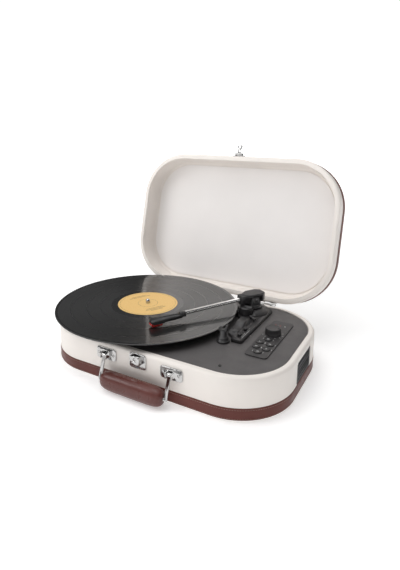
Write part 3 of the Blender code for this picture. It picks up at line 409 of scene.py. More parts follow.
def turned(profile, steps=48, closed=False, wobble=None):
    """Turns (radius, z) pairs about Z; wobble(angle, radius, z) may change a radius."""
    mesh_data = bmesh.new()
    rings = []
    for radius, z in profile:
        if radius == 0:
            rings.append([mesh_data.verts.new((0, 0, z))])
            continue
        ring = []
        for i in range(steps):
            angle = 2 * math.pi * i / steps
            reach = wobble(angle, radius, z) if wobble else radius
            ring.append(mesh_data.verts.new((reach * math.cos(angle), reach * math.sin(angle), z)))
        rings.append(ring)
    pairs = list(zip(rings, rings[1:]))
    if closed:
        pairs.append((rings[-1], rings[0]))
    for lower, upper in pairs:
        for i in range(steps):
            j = (i + 1) % steps
            corners = [lower[i % len(lower)], lower[j % len(lower)]]
            corners += [upper[j % len(upper)], upper[i % len(upper)]]
            mesh_data.faces.new(list(dict.fromkeys(corners)))
    return mesh_data


def rod(radius, reach, steps):
    """A cylinder about the origin that reaches as far below z = 0 as above it."""
    return turned([(0, -reach), (radius, -reach), (radius, reach), (0, reach)], steps)


def washer(inner, outer, bottom, top, steps):
    """A flat ring about Z."""
    return turned([(inner, bottom), (outer, bottom), (outer, top), (inner, top)], steps, closed=True)


def slab(outline, bottom, top, round_over=0.0, segments=3):
    """Extrudes an outline upwards and rounds its top edge."""
    mesh_data = loft([[(x, y, bottom) for x, y in outline], [(x, y, top) for x, y in outline]])
    if round_over:
        rim = [edge for edge in mesh_data.edges
               if all(abs(vert.co.z - top) < 1e-7 for vert in edge.verts)]
        bmesh.ops.bevel(
            mesh_data, geom=rim, offset=round_over, segments=segments, affect="EDGES", profile=0.5)
    return mesh_data


def block(size, bevel):
    """A block about the origin with rounded edges."""
    mesh_data = bmesh.new()
    bmesh.ops.create_cube(mesh_data, size=1)
    bmesh.ops.scale(mesh_data, verts=mesh_data.verts, vec=size)
    bmesh.ops.bevel(mesh_data, geom=mesh_data.edges[:], offset=bevel, segments=2, affect="EDGES")
    return mesh_data


def placed(mesh_data, matrix):
    bmesh.ops.transform(mesh_data, matrix=matrix, verts=mesh_data.verts)
    return mesh_data


def at(*place):
    return Matrix.Translation(place)


def turn(degrees, axis):
    return Matrix.Rotation(math.radians(degrees), 4, axis)


def merged(parts):
    """Several meshes as one."""
    whole = bmesh.new()
    for part in parts:
        keep = bpy.data.meshes.new("merge_step")
        part.to_mesh(keep)
        part.free()
        whole.from_mesh(keep)
        bpy.data.meshes.remove(keep)
    return whole


def object_from(name, mesh_data, finish=None, sharp=32):
    bmesh.ops.recalc_face_normals(mesh_data, faces=mesh_data.faces)
    mesh = bpy.data.meshes.new(name)
    mesh_data.to_mesh(mesh)
    mesh_data.free()
    mesh.shade_smooth()
    mesh.set_sharp_from_angle(angle=math.radians(sharp))
    if finish:
        mesh.materials.append(finish)
    item = bpy.data.objects.new(name, mesh)
    bpy.context.scene.collection.objects.link(item)
    return item


def piece(name, mesh_data, look, body, replaces=(), sharp=32):
    """A visible piece that rides on a body, and may stand for CAD nodes."""
    item = object_from(name, mesh_data, FINISHES[look], sharp)
    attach(item, body)
    if replaces:
        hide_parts(*replaces)
    return item


def carved(mesh_data, cutters):
    """The mesh with the cutters taken away, as mesh data."""
    item = object_from("carve_step", mesh_data)
    tools = [object_from("carve_tool", cutter) for cutter in cutters]
    for tool in tools:
        step = item.modifiers.new("cut", "BOOLEAN")
        step.operation = "DIFFERENCE"
        step.solver = "EXACT"
        step.object = tool
    bpy.context.view_layer.update()
    result = bmesh.new()
    result.from_mesh(item.evaluated_get(bpy.context.evaluated_depsgraph_get()).to_mesh())
    for used in [item] + tools:
        bpy.data.objects.remove(used)
    return result


def refined(node, look, body, edge=0.2 * MM, segments=2):
    """A CAD node's copy with merged points, flat faces made whole and soft edges."""
    mesh_data = bmesh.new()
    mesh_data.from_mesh(frame["nodes"][node].data)
    bmesh.ops.remove_doubles(mesh_data, verts=mesh_data.verts, dist=1e-6)
    bmesh.ops.dissolve_limit(
        mesh_data, angle_limit=math.radians(1), verts=mesh_data.verts, edges=mesh_data.edges)
    if edge:
        sharp = [e for e in mesh_data.edges
                 if len(e.link_faces) == 2 and e.calc_face_angle(0) > math.radians(32)]
        bmesh.ops.bevel(
            mesh_data, geom=sharp, offset=edge, segments=segments, affect="EDGES", clamp_overlap=True)
    return piece(f"{node}_finish", mesh_data, look, body, (node,), 40)


def frame_on(normal, up=Vector((0, 0, 1))):
    """A rotation whose Z points along the normal."""
    z = Vector(normal).normalized()
    x = up.cross(z)
    if x.length < 1e-6:
        x = Vector((1, 0, 0))
    x.normalize()
    y = z.cross(x)
    return Matrix((x, y, z)).transposed().to_4x4()


# ---------------------------------------------------------------- thread and screws

def stitch():
    """One thread stitch along X, pulled down at both ends."""
    mesh_data = bmesh.new()
    rings = []
    for share in (-0.5, -0.38, 0.0, 0.38, 0.5):
        width = THREAD_RADIUS * (0.45 if abs(share) == 0.5 else 1.0)
        lift = THREAD_RADIUS * (0.9 - 4.4 * share * share)
        rings.append([mesh_data.verts.new((share * STITCH_LENGTH, y, z + lift))
                      for y, z in arc((0, 0), width, 0, 300, 5)])
    for near, far in zip(rings, rings[1:]):
        for i in range(6):
            j = (i + 1) % 6
            mesh_data.faces.new((near[i], near[j], far[j], far[i]))
    mesh_data.faces.new(rings[0])
    mesh_data.faces.new(rings[-1])
    return mesh_data


def walk(points, pitch):
    """Evenly spaced places along a closed outline, each with its direction."""
    lengths = [(Vector(b) - Vector(a)).length for a, b in zip(points, points[1:] + points[:1])]
    count = round(sum(lengths) / pitch)
    step = sum(lengths) / count
    places = []
    travelled, target = 0.0, 0.0
    for i, length in enumerate(lengths):
        start, end = Vector(points[i]), Vector(points[(i + 1) % len(points)])
        while target < travelled + length - 1e-9 and len(places) < count:
            share = (target - travelled) / length
            places.append((start.lerp(end, share), (end - start).normalized()))
            target += step
        travelled += length
    return places


def copies(template, matrices):
    """One mesh with the template at each matrix."""
    keep = bpy.data.meshes.new("copy_step")
    template.to_mesh(keep)
    template.free()
    whole = bmesh.new()
    for matrix in matrices:
        moved = keep.copy()
        moved.transform(matrix)
        whole.from_mesh(moved)
        bpy.data.meshes.remove(moved)
    bpy.data.meshes.remove(keep)
    return whole


def seam_round_case(heights, inset):
    """Stitch matrices round the case at the given heights."""
    matrices = []
    for z in heights:
        for place, heading in walk(case_outline(inset), STITCH_PITCH):
            outward = Vector((heading.y, -heading.x, 0))
            ahead = Vector((heading.x, heading.y, 0))
            spin = Matrix((ahead, Vector((0, 0, 1)), outward)).transposed().to_4x4()
            matrices.append(at(place.x, place.y, z) @ spin)
    return matrices


def screw(radius, height):
    """A domed screw head with a cross recess, standing on z = 0."""
    dome = [(0, height), (radius * 0.45, height * 0.95), (radius * 0.8, height * 0.66)]
    dome += [(radius, height * 0.12), (radius, 0), (0, 0)]
    recess = [placed(block((radius * 1.25, radius * 0.3, height), radius * 0.05),
                     at(0, 0, height) @ turn(spin, "Z")) for spin in (35, 125)]
    return carved(turned(dome, 28), recess)


def screws(name, places, radius, height, look, body):
    """One piece with a screw at each (place, direction)."""
    matrices = [Matrix.Translation(place) @ frame_on(normal) @ turn(37 * i, "Z")
                for i, (place, normal) in enumerate(places)]
    return piece(name, copies(screw(radius, height), matrices), look, body)


# ---------------------------------------------------------------- case

def build_case():
    wall = [(BAND_RECESS, BASE_BOTTOM), (BAND_RECESS, BAND_HIGH + 0.3 * MM)]
    wall += [(0.25 * MM, BAND_HIGH + 0.3 * MM), (0, BAND_HIGH + 0.7 * MM)]
    wall += [(BULLNOSE - dx, z) for dx, z in arc((0, RIM_Z - BULLNOSE), BULLNOSE, 0, 90, 10)]
    wall += [(WALL - 1 * MM - dx, z) for dx, z in arc((0, RIM_Z - 1 * MM), -1 * MM, -90, -180, 4)]
    wall += [(WALL, LEDGE_Z), (WALL + LEDGE_WIDTH, LEDGE_Z), (WALL + LEDGE_WIDTH, LEDGE_Z - 3 * MM)]
    wall += [(WALL, LEDGE_Z - 8 * MM), (WALL, BASE_BOTTOM)]
    grille = size_of("speaker_grille_left")
    grille_z = middle("speaker_grille_left").z
    jack = size_of("jack_panel")
    jack_at = middle("jack_panel")
    room = 0.35 * MM
    holes = [placed(block((CASE_WIDTH + 20 * MM, grille.y + room, grille.z + room), 2 * MM),
                    at(0, CASE_Y, grille_z)),
             placed(block((jack.x + room, 40 * MM, 20 * MM + room), 2 * MM), at(0, jack_at.y, jack_at.z)),
             placed(rod(3.4 * MM, 15 * MM, 24),
                    at(0, SHELL_LOW.y, middle("lock_cylinder").z) @ turn(90, "X"))]
    piece("case_shell", carved(case_loft(wall, closed=True), holes), "cream", "base", ("base_shell",))

    inner = 1.2 * MM
    bulge = [(inner, BAND_LOW), (0.5 * MM, BAND_LOW)]
    bulge += [(-BAND_PROUD, BAND_LOW + 0.9 * MM), (-BAND_PROUD - 0.25 * MM, (BAND_LOW + BAND_HIGH) / 2)]
    bulge += [(-BAND_PROUD, BAND_HIGH - 0.9 * MM), (0.05 * MM, BAND_HIGH - 0.25 * MM)]
    bulge += [(0.5 * MM, BAND_HIGH), (inner, BAND_HIGH)]
    piece("base_band_leather", case_loft(bulge, closed=True), "brown", "base", ("base_band",))
    rows = (BAND_LOW + 2.3 * MM, BAND_HIGH - 2.3 * MM)
    piece("base_band_stitching", copies(stitch(), seam_round_case(rows, -BAND_PROUD - 0.12 * MM)),
          "thread", "base")

    deck = case_outline(WALL + GAP)
    pulley = middle("motor_pulley")
    bores = [placed(rod(4 * MM, 5 * MM, 32), at(x, y, DECK_TOP))
             for x, y in ((pulley.x, pulley.y), (PLATTER.x, PLATTER.y))]
    piece("deck_leather", carved(slab(deck, DECK_BOTTOM, DECK_TOP), bores), "deck", "base", ("deck_plate",))
    mark = placed(turned(in_mm((0, 0.35), (1.1, 0.35), (1.3, 0.9), (2.1, 0.8),
                          (2.3, 0), (0, 0)), 28), at(113 * MM, CASE_Y - 102 * MM, DECK_TOP))
    piece("front_indicator", mark, "plastic", "base")


def build_underside():
    low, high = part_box("bottom_panel")
    piece("bottom_board", slab(case_outline(WALL + GAP), low.z, high.z), "board", "base", ("bottom_panel",))
    for corner in ("front_left", "front_right", "rear_left", "rear_right"):
        node = f"foot_{corner}"
        low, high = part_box(node)
        radius = (high.x - low.x) / 2
        top = high.z
        profile = in_mm((0, 1.1), (2.6, 1.1), (2.9, 0.3), (3.3, 0))
        profile += [(radius * 0.82, 0), (radius * 0.92, 0.4 * MM), (radius, top), (0, top)]
        place = middle(node)
        piece(f"{node}_rubber", placed(turned(profile, 40), at(place.x, place.y, 0)), "rubber",
              "base", (node,))
    rim = [(sx * 120 * MM, CASE_Y + sy * 108 * MM) for sx in (-1, 0, 1) for sy in (-1, 1)]
    rim += [(sx * 176 * MM, CASE_Y) for sx in (-1, 1)]
    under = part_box("bottom_panel")[0].z
    places = [(Vector((x, y, under)), (0, 0, -1)) for x, y in rim]
    screws("bottom_screws", places, 2.6 * MM, 1.1 * MM, "dark steel", "base")


def build_sides():
    for side, name in ((-1, "left"), (1, "right")):
        refined(f"speaker_grille_{name}", "grille", "base", 0.35 * MM, 3)
        speaker = middle(f"speaker_{name}")
        low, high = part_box(f"speaker_{name}")
        face = high.x if side > 0 else low.x
        cone = in_mm((0, -1.5), (2, -1.6), (4.6, -3.0), (5, -3.3))
        cone += in_mm((11.4, -1.2), (12.2, -0.4), (13, -0.2), (13.8, -0.7))
        cone += in_mm((14.4, 0), (15.8, 0), (16, -0.3), (16, -1.5), (9, -11))
        cone += in_mm((12, -11), (12, -19), (0, -19))
        place = at(face, speaker.y, speaker.z) @ turn(90 * side, "Y")
        piece(f"speaker_{name}_cone", placed(turned(cone, 48), place), "paint", "base", (f"speaker_{name}",))


def build_rear():
    refined("jack_panel", "plastic", "base", 0.25 * MM)
    refined("circuit_board", "solder", "base", 0)
    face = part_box("jack_panel")[1].y
    z = middle("jack_panel").z
    flat = size_of("jack_panel").x / 2
    for x, tint, name in ((-30 * MM, "white ring", "left"), (-16 * MM, "red ring", "right")):
        ring = washer(2.4 * MM, 3.9 * MM, 0, 0.25 * MM, 32)
        piece(f"line_out_ring_{name}", placed(ring, at(x, face, z) @ turn(-90, "X")), tint, "base")
        core = turned(in_mm((0, 0), (0.9, 0), (0.9, -3.4), (2.05, -3.4), (2.05, -4.4),
                       (0, -4.4)), 24)
        piece(f"line_out_contact_{name}", placed(core, at(x, face - 0.8 * MM, z) @ turn(-90, "X")), "brass",
              "base")
    marks = []
    plate = face - 4.5 * MM + 0.03 * MM
    for x in (-30, -16, 2, 18):
        for offset in (-1.8, 0, 1.8):
            dash = block((1.2 * MM, 0.5 * MM, 0.08 * MM), 0.02 * MM)
            marks.append(placed(dash, at((x + offset) * MM, plate, z + 7.3 * MM) @ turn(-90, "X")))
    piece("jack_panel_marks", merged(marks), "ink", "base")
    places = [(Vector((sx * (flat - 4 * MM), plate, z)), (0, 1, 0)) for sx in (-1, 1)]
    screws("jack_panel_screws", places, 1.7 * MM, 0.9 * MM, "dark steel", "base")


# ---------------------------------------------------------------- lid

def build_lid():
    side_end = LID_TOP - LID_BAND_HEIGHT
    edge = 4.2 * MM
    flange = 9 * MM
    gap = GAP
    shell = [(flange + gap, LID_TOP), (flange + gap, LID_TOP - BAND_RECESS)]
    shell += [(BAND_RECESS + edge - dx, z) for dx, z in arc(
        (0, LID_TOP - BAND_RECESS - edge), edge, 90, 0, 8)]
    shell += [(BAND_RECESS, side_end - gap), (0.25 * MM, side_end - gap), (0, side_end - 0.7 * MM)]
    shell += [(BULLNOSE - dx, z) for dx, z in arc((0, MOUTH_Z + BULLNOSE), BULLNOSE, 0, -90, 10)]
    shell += [(WALL - 1 * MM - dx, z) for dx, z in arc((0, MOUTH_Z + 1 * MM), -1 * MM, 90, 180, 4)]
    shell += [(WALL + LID_INNER_RADIUS - dx, z) for dx, z in arc(
        (0, LID_CEILING - LID_INNER_RADIUS), LID_INNER_RADIUS, 0, 90, 12)]
    piece("lid_leather", placed(case_loft(shell), LID_TURN), "cream", "lid",
          ("lid_shell",))

    outer = edge + 1.4 * MM
    corner_z = LID_TOP - BAND_RECESS - edge
    inner = BAND_RECESS - gap
    proud = LID_BAND_PROUD
    band = [(inner, side_end), (0.2 * MM, side_end), (-0.3 * MM, side_end + 0.15 * MM)]
    band += [(-proud, side_end + 0.8 * MM), (-proud - 0.15 * MM, side_end + 5 * MM)]
    band += [(outer - proud - dx, z) for dx, z in arc((0, corner_z), outer, 0, 90, 10)]
    band += [(flange - 0.6 * MM, corner_z + outer), (flange, corner_z + outer - 0.5 * MM)]
    band += [(flange, corner_z + edge + gap)]
    band += [(inner + edge + gap - dx, z) for dx, z in arc((0, corner_z), edge + gap, 90, 0, 6)]
    piece("lid_band_leather", placed(case_loft(band, closed=True), LID_TURN), "brown", "lid", ("lid_band",))
    rows = (side_end + 2.3 * MM, corner_z - 0.6 * MM)
    thread = copies(stitch(), seam_round_case(rows, -proud - 0.1 * MM))
    piece("lid_band_stitching", placed(thread, LID_TURN), "thread", "lid")

    top = LID_CEILING - gap
    lining = [(LINING_INSET, top), (LINING_INSET, top - 0.6 * MM)]
    lining += [(LINING_INSET + 0.8 * MM - dx, z) for dx, z in arc((0, top - 0.6 * MM), 0.8 * MM, 0, -90, 5)]
    lining += [(LINING_INSET + 5 * MM, top - 1.42 * MM)]
    piece("lid_lining_cloth", placed(case_loft(lining), LID_TURN), "lining", "lid",
          ("lid_lining",))


def build_hinges():
    for name in ("left", "right"):
        for body in ("base", "lid"):
            refined(f"hinge_{body}_leaf_{name}", "chrome", body, 0.2 * MM)
        refined(f"hinge_pin_{name}", "chrome", "base", 0.15 * MM)
        x = middle(f"hinge_pin_{name}").x
        leaf_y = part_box(f"hinge_base_leaf_{name}")[0].y + 1.2 * MM
        base_places = [(Vector((x + dx * MM, leaf_y, HINGE.z - 11 * MM)), (0, 1, 0)) for dx in (-10, 0, 10)]
        screws(f"hinge_base_screws_{name}", base_places, 1.9 * MM, 0.8 * MM, "chrome",
               "base")
        lid_places = []
        for dx in (-10, 0, 10):
            closed_place = Vector((x + dx * MM, leaf_y, HINGE.z + 11 * MM))
            lid_places.append((LID_TURN @ closed_place, LID_TURN.to_3x3() @ Vector((0, 1, 0))))
        screws(f"hinge_lid_screws_{name}", lid_places, 1.9 * MM, 0.8 * MM, "chrome",
               "lid")


# ---------------------------------------------------------------- front hardware

def build_front():
    for name in ("left", "right"):
        node = f"handle_bracket_{name}"
        refined(node, "chrome", "base", 0.35 * MM, 3)
        place = middle(node)
        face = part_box(node)[1].y - 1.75 * MM
        places = [(Vector((place.x + dx * MM, face + 0.32 * MM, place.z)), (0, -1, 0))
                  for dx in (-12.4, 12.4)]
        screws(f"{node}_screws", places, 2.5 * MM, 1.1 * MM, "chrome", "base")
        # a near-black sheet on the bracket face: painted shade for the dark inside of the bracket's hollow
        shade_sheet = placed(block((7.0 * MM, 0.3 * MM, 7.4 * MM), 0.05 * MM),
                        at(place.x, face + 0.25 * MM, place.z))
        piece(f"{node}_hollow", shade_sheet, "painted_shade", "base")
    refined("latch_case", "chrome", "base", 0.35 * MM, 3)
    refined("latch_catch", "chrome", "catch", 0.15 * MM)
    refined("lock_cylinder", "dark steel", "lock", 0.1 * MM)
    latch = middle("latch_case")
    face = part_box("latch_case")[1].y - 1.43 * MM
    places = [(Vector((dx * MM, face, latch.z + 1.5 * MM)), (0, -1, 0)) for dx in (-10.6, 10.6)]
    screws("latch_screws", places, 1.8 * MM, 1.0 * MM, "dark steel", "base")

    refined("hasp_plate", "chrome", "lid", 0.25 * MM)
    refined("hasp_arm", "chrome", "hasp", 0.2 * MM)
    hinge_to_hasp = LID_TURN.to_3x3() @ Vector((0, -1, 0))
    plate_face = SHELL_LOW.y - 0.3 * MM - 1.3 * MM
    places = [(LID_TURN @ Vector((dx * MM, plate_face, 75.5 * MM)), hinge_to_hasp) for dx in (-9.3, 9.3)]
    screws("hasp_screws", places, 1.4 * MM, 0.7 * MM, "chrome", "lid")


def build_grip():
    """The padded grip: a firm stuffed roll with gathered ends and a sewn seam along its top."""
    refined("handle_frame", "chrome", "handle", 0.25 * MM)
    centre = middle("handle_grip")
    half = size_of("handle_grip") / 2
    stations = 60
    sides = 56
    loops = []
    for i in range(stations + 1):
        share = -1 + 2 * i / stations
        fade = 1 - abs(share) ** 7
        girth = 0.36 + 0.64 * math.sqrt(max(fade, 0.0))
        bulge = 1 + 0.012 * math.sin(9 * share + 0.7) * (1 - abs(share))
        loop = []
        for k in range(sides):
            angle = 2 * math.pi * k / sides
            gather = 1 - 0.018 * abs(share) ** 9 * (1 + math.cos(14 * angle)) * 2
            c, s = math.cos(angle), math.sin(angle)
            y = math.copysign(abs(c) ** GRIP_SQUARENESS, c) * half.y * girth * bulge * gather
            z = math.copysign(abs(s) ** GRIP_SQUARENESS, s) * half.z * girth * gather
            seam = math.exp(-((angle - GRIP_SEAM) / 0.07) ** 2)
            pinch = 1 - 0.05 * seam * (1 - abs(share) ** 6)
            loop.append((centre.x + share * half.x, centre.y + y * pinch, centre.z + z * pinch))
        loops.append(loop)
    grip = piece("padded_grip", loft(loops), "grip", "handle", ("handle_grip",), 60)

    matrices = []
    count = 22
    for row in (-0.16, 0.16):
        angle = GRIP_SEAM + row
        radial = Vector((0, math.cos(angle) ** GRIP_SQUARENESS * half.y,
                         math.sin(angle) ** GRIP_SQUARENESS * half.z))
        normal = Vector((0, radial.y / half.y ** 2, radial.z / half.z ** 2)).normalized()
        spin = Matrix((Vector((1, 0, 0)), normal.cross(Vector((1, 0, 0))), normal)).transposed().to_4x4()
        for i in range(count):
            x = (-0.78 + 1.56 * i / (count - 1)) * half.x
            matrices.append(Matrix.Translation(centre + Vector((x, 0, 0)) + radial * 1.0) @ spin)
    piece("grip_stitching", copies(stitch(), matrices), "thread", "handle")


# ---------------------------------------------------------------- platter and drive

def build_platter():
    low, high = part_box("platter")
    radius = (high.x - low.x) / 2
    bore = 3.9 * MM
    hub = 62 * MM
    plate = [(bore, 64.4 * MM), (hub - 3 * MM, 64.4 * MM), (hub - 3 * MM, low.z), (hub, low.z)]
    plate += [(hub, 66.5 * MM), (91 * MM, 66.5 * MM), (91 * MM, 63 * MM), (radius - 1 * MM, 63 * MM)]
    plate += [(radius - 0.2 * MM, 63.4 * MM), (radius, 64.2 * MM), (radius, 65.6 * MM)]
    plate += [(radius - 0.5 * MM, 66 * MM), (radius - 0.5 * MM, 66.6 * MM)]
    plate += [(radius, 67 * MM), (radius, high.z - 0.8 * MM), (radius - 0.3 * MM, high.z - 0.2 * MM)]
    plate += [(radius - 0.9 * MM, high.z), (bore, high.z)]
    place = at(PLATTER.x, PLATTER.y, 0)
    piece("platter_turned", placed(turned(plate, 128, closed=True), place), "paint", "platter", ("platter",))

    low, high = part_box("slip_mat")
    radius = (high.x - low.x) / 2
    top = high.z
    mat = [(4.5 * MM, low.z), (radius - 0.3 * MM, low.z), (radius, low.z + 0.5 * MM)]
    mat += [(radius, top - 0.7 * MM), (radius - 0.7 * MM, top)]
    for ring in (90, 84, 78, 72, 66, 58, 54):
        mat += [(ring * MM, top), ((ring - 0.35) * MM, top - 0.45 * MM)]
        mat += [((ring - 0.9) * MM, top - 0.45 * MM), ((ring - 1.25) * MM, top)]
    mat += [(50 * MM, top), (49 * MM, top - 0.9 * MM), (4.5 * MM, top - 0.9 * MM)]
    piece("slip_mat_felt", placed(turned(mat, 128, closed=True), place), "felt", "platter",
          ("slip_mat",))

    low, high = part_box("spindle")
    tip = high.z
    pin = [(0, low.z), (3.6 * MM, low.z), (3.6 * MM, 61.8 * MM), (9 * MM, 61.8 * MM), (9 * MM, 64 * MM)]
    pin += [(3.6 * MM, 64 * MM), (3.6 * MM, tip - 3.6 * MM), (3.3 * MM, tip - 2.4 * MM)]
    pin += [(2.4 * MM, tip - 1 * MM), (1.2 * MM, tip - 0.2 * MM), (0, tip)]
    piece("spindle_pin", placed(turned(pin, 40), place), "chrome", "base", ("spindle",))
    refined("motor", "dark steel", "base", 0.3 * MM)
    refined("motor_pulley", "brass", "pulley", 0)
    refined("drive_belt", "rubber", "base", 0)


# ---------------------------------------------------------------- tonearm

def build_arm():
    for node, tint, body, edge, segments in (
            ("arm_plate", "plate", "base", 0.3, 2), ("arm_rest", "plastic", "base", 0.3, 2),
            ("arm_base", "plate", "base", 0.25, 2), ("arm_yoke", "plastic", "arm_turret", 0.3, 2)):
        refined(node, tint, body, edge * MM, segments)
    refined("arm_pivot_pin", "dark steel", "arm_turret", 0.15 * MM)
    refined("counterweight", "plastic", "arm", 0.5 * MM, 3)
    refined("headshell", "plastic", "arm", 0.3 * MM)
    refined("cartridge", "plastic", "arm", 0.2 * MM)
    refined("stylus", "red", "arm", 0.2 * MM)
    for node, body, edge in (("lift_bar", "cue_bar", 0.2), ("lift_lever", "cue_lever", 0.3),
                             ("speed_slider", "speed_switch", 0.2), ("auto_stop_slider", "stop_switch", 0.2)):
        refined(node, "plastic", body, edge * MM)

    along = Vector((math.cos(ARM_HEADING), math.sin(ARM_HEADING), 0))
    slope = math.radians(ARM_SLOPE)
    down = (along * math.cos(slope) - Vector((0, 0, math.sin(slope)))).normalized()
    origin = Vector((ARM_PIVOT.x, ARM_PIVOT.y, ARM_PIVOT.z + TUBE_RISE))
    radius = 3.3 * MM
    tube = [(0, 26.3 * MM), (radius - 0.3 * MM, 26.3 * MM), (radius, 26.7 * MM), (radius, 30 * MM)]
    tube += [(radius - 0.2 * MM, 30.4 * MM), (radius - 0.2 * MM, 121 * MM), (radius, 121.4 * MM)]
    tube += [(radius, 127.3 * MM), (radius - 0.4 * MM, 127.7 * MM), (0, 127.7 * MM)]
    place = Matrix.Translation(origin) @ frame_on(down)
    piece("arm_tube_turned", placed(turned(tube, 40), place), "satin", "arm",
          ("arm_tube",))


# ---------------------------------------------------------------- controls

def build_controls():
    low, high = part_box("control_panel")
    centre = middle("control_panel")
    outline = [(x + centre.x, y + centre.y)
               for x, y in rounded_rectangle(high.x - low.x, high.y - low.y, 6 * MM, 12)]
    wells = []
    for name in KEYS:
        place = middle(f"button_{name}")
        wells.append(placed(rod(6.55 * MM, 3 * MM, 40), at(place.x, place.y, high.z)))
    piece("control_panel_face", carved(slab(outline, low.z, high.z, 0.45 * MM), wells), "plate", "base",
          ("control_panel",))
    build_buttons()
    build_knob(high.z)
    build_panel_print(high.z)


def build_buttons():
    for name in KEYS:
        low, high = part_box(f"button_{name}")
        place = middle(f"button_{name}")
        radius = (high.x - low.x) / 2
        top = high.z
        cap = [(0, top - 0.45 * MM), (2.5 * MM, top - 0.42 * MM), (radius - 1.7 * MM, top - 0.2 * MM)]
        cap += [(radius - 1.1 * MM, top), (radius - 0.6 * MM, top), (radius - 0.15 * MM, top - 0.25 * MM)]
        cap += [(radius, top - 0.7 * MM), (radius, low.z), (0, low.z)]
        piece(f"button_{name}_cap", placed(turned(cap, 44), at(place.x, place.y, 0)), "plastic",
              f"key_{name}", (f"button_{name}",))
        signs = [placed(sign, at(place.x, place.y, top - 0.36 * MM)) for sign in button_sign(name)]
        piece(f"button_{name}_sign", merged(signs), "ink", f"key_{name}")


def bar(width, depth, x=0.0, y=0.0, spin=0.0):
    """A flat printed bar, measured in millimetres."""
    strip = block((width * MM, depth * MM, 0.1 * MM), 0.02 * MM)
    return placed(strip, at(x * MM, y * MM, 0) @ turn(spin, "Z"))


def wedge(x, heading):
    """A small flat triangle that points along X."""
    outline = in_mm((-0.8, -1.1), (1.1, 0), (-0.8, 1.1))
    return placed(slab(outline, -0.05 * MM, 0.05 * MM), at(x * MM, 0, 0) @ turn(heading, "Z"))


def ring_sign(radius):
    return washer((radius - 0.2) * MM, (radius + 0.2) * MM, -0.05 * MM, 0.05 * MM, 28)


def button_sign(name):
    """Plain transport signs: a triangle to play, a dot to record and so on."""
    if name == "play":
        return [wedge(-0.6, 0), bar(0.35, 2.2, 1.4)]
    if name == "next":
        return [wedge(-0.9, 0), wedge(0.9, 0)]
    if name == "previous":
        return [wedge(-0.9, 180), wedge(0.9, 180)]
    if name == "power":
        return [ring_sign(1.4), bar(0.35, 1.3, 0, 1.4)]
    if name == "record":
        return [ring_sign(1.5), ring_sign(0.5)]
    return [bar(2.4, 0.35, 0, offset) for offset in (-0.9, 0.0, 0.9)]


def build_knob(panel_top):
    low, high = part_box("volume_knob")
    place = middle("volume_knob")
    radius = (high.x - low.x) / 2
    top = high.z
    ribs = 40

    def ribbed(angle, reach, z):
        inside = low.z + 0.8 * MM < z < top - 1.2 * MM
        return reach - (0.22 * MM if inside and math.cos(ribs * angle) < 0 else 0)

    side = [(0, low.z), (radius - 0.2 * MM, low.z), (radius, low.z + 0.3 * MM), (radius, low.z + 0.75 * MM)]
    side += [(radius - 0.1 * MM, low.z + 1.2 * MM), (radius - 0.5 * MM, top - 1.5 * MM)]
    side += [(radius - 0.5 * MM, top - 1.0 * MM), (radius - 0.8 * MM, top - 0.35 * MM)]
    side += [(radius - 1.5 * MM, top), (radius - 2.3 * MM, top - 0.12 * MM), (0, top - 0.3 * MM)]
    pointer = placed(block((7 * MM, 1.5 * MM, 2 * MM), 0.2 * MM), at(radius - 1.6 * MM, 0, top))
    knob = carved(turned(side, ribs * 4, wobble=ribbed), [pointer])
    piece("volume_knob_ribbed", placed(knob, at(place.x, place.y, 0)), "plastic", "volume", ("volume_knob",))
    line = placed(block((4.2 * MM, 0.7 * MM, 0.2 * MM), 0.05 * MM),
                  at(place.x + radius - 3.6 * MM, place.y, top - 1.0 * MM))
    piece("volume_knob_pointer", line, "ink", "volume")

    ticks = []
    for i in range(11):
        angle = math.radians(-60 + 30 * i)
        reach = radius + 3.2 * MM
        tick = placed(block((2.2 * MM, 0.55 * MM, 0.08 * MM), 0.02 * MM),
                      at(place.x + reach * math.cos(angle), place.y + reach * math.sin(angle), panel_top)
                      @ Matrix.Rotation(angle, 4, "Z"))
        if abs(reach * math.cos(angle) + place.x - middle("control_panel").x) < 14.6 * MM:
            ticks.append(tick)
    piece("volume_scale", merged(ticks), "ink", "base")


def build_panel_print(panel_top):
    marks = []
    for name in KEYS:
        place = middle(f"button_{name}")
        for side in (-1, 1):
            dash = block((0.55 * MM, 3.0 * MM, 0.08 * MM), 0.02 * MM)
            x = place.x + side * 7.5 * MM
            if abs(x - middle("control_panel").x) < 15 * MM:
                marks.append(placed(dash, at(x, place.y + 0.8 * MM, panel_top)))
    piece("button_marks", merged(marks), "ink", "base")
    knob = middle("volume_knob")
    for i, x in enumerate((-7, 0.5, 8)):
        lens = turned(in_mm((0, 0.45), (0.6, 0.38), (0.95, 0), (0, -0.2)), 24)
        tint = "ink" if i == 2 else "red lamp"
        piece(f"panel_lamp_{i + 1}", placed(lens, at(knob.x + x * MM, knob.y + 33 * MM, panel_top)),
              tint, "base")


def build_plate_print():
    """White marks on the arm plate beside its switches."""
    top = 67.5 * MM
    slider = middle("speed_slider")
    stop = middle("auto_stop_slider")
    marks = [placed(bar(0.5, 2.4), at(slider.x + 3.6 * MM, slider.y + y * MM, top)) for y in (-1, 4, 9)]
    marks += [placed(bar(0.5, 2.0), at(stop.x + 3.6 * MM, stop.y + y * MM, top)) for y in (-1, 5)]
    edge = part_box("arm_plate")[1].x - 2.6 * MM
    marks.append(placed(bar(0.5, 31), at(edge, CASE_Y - 10.5 * MM, top)))
    marks.append(placed(ring_sign(0.8), at(edge + 3.3 * MM, CASE_Y - 0.8 * MM, DECK_TOP + 0.1 * MM)))
    piece("arm_plate_marks", merged(marks), "ink", "base")


# ---------------------------------------------------------------- record on the platter

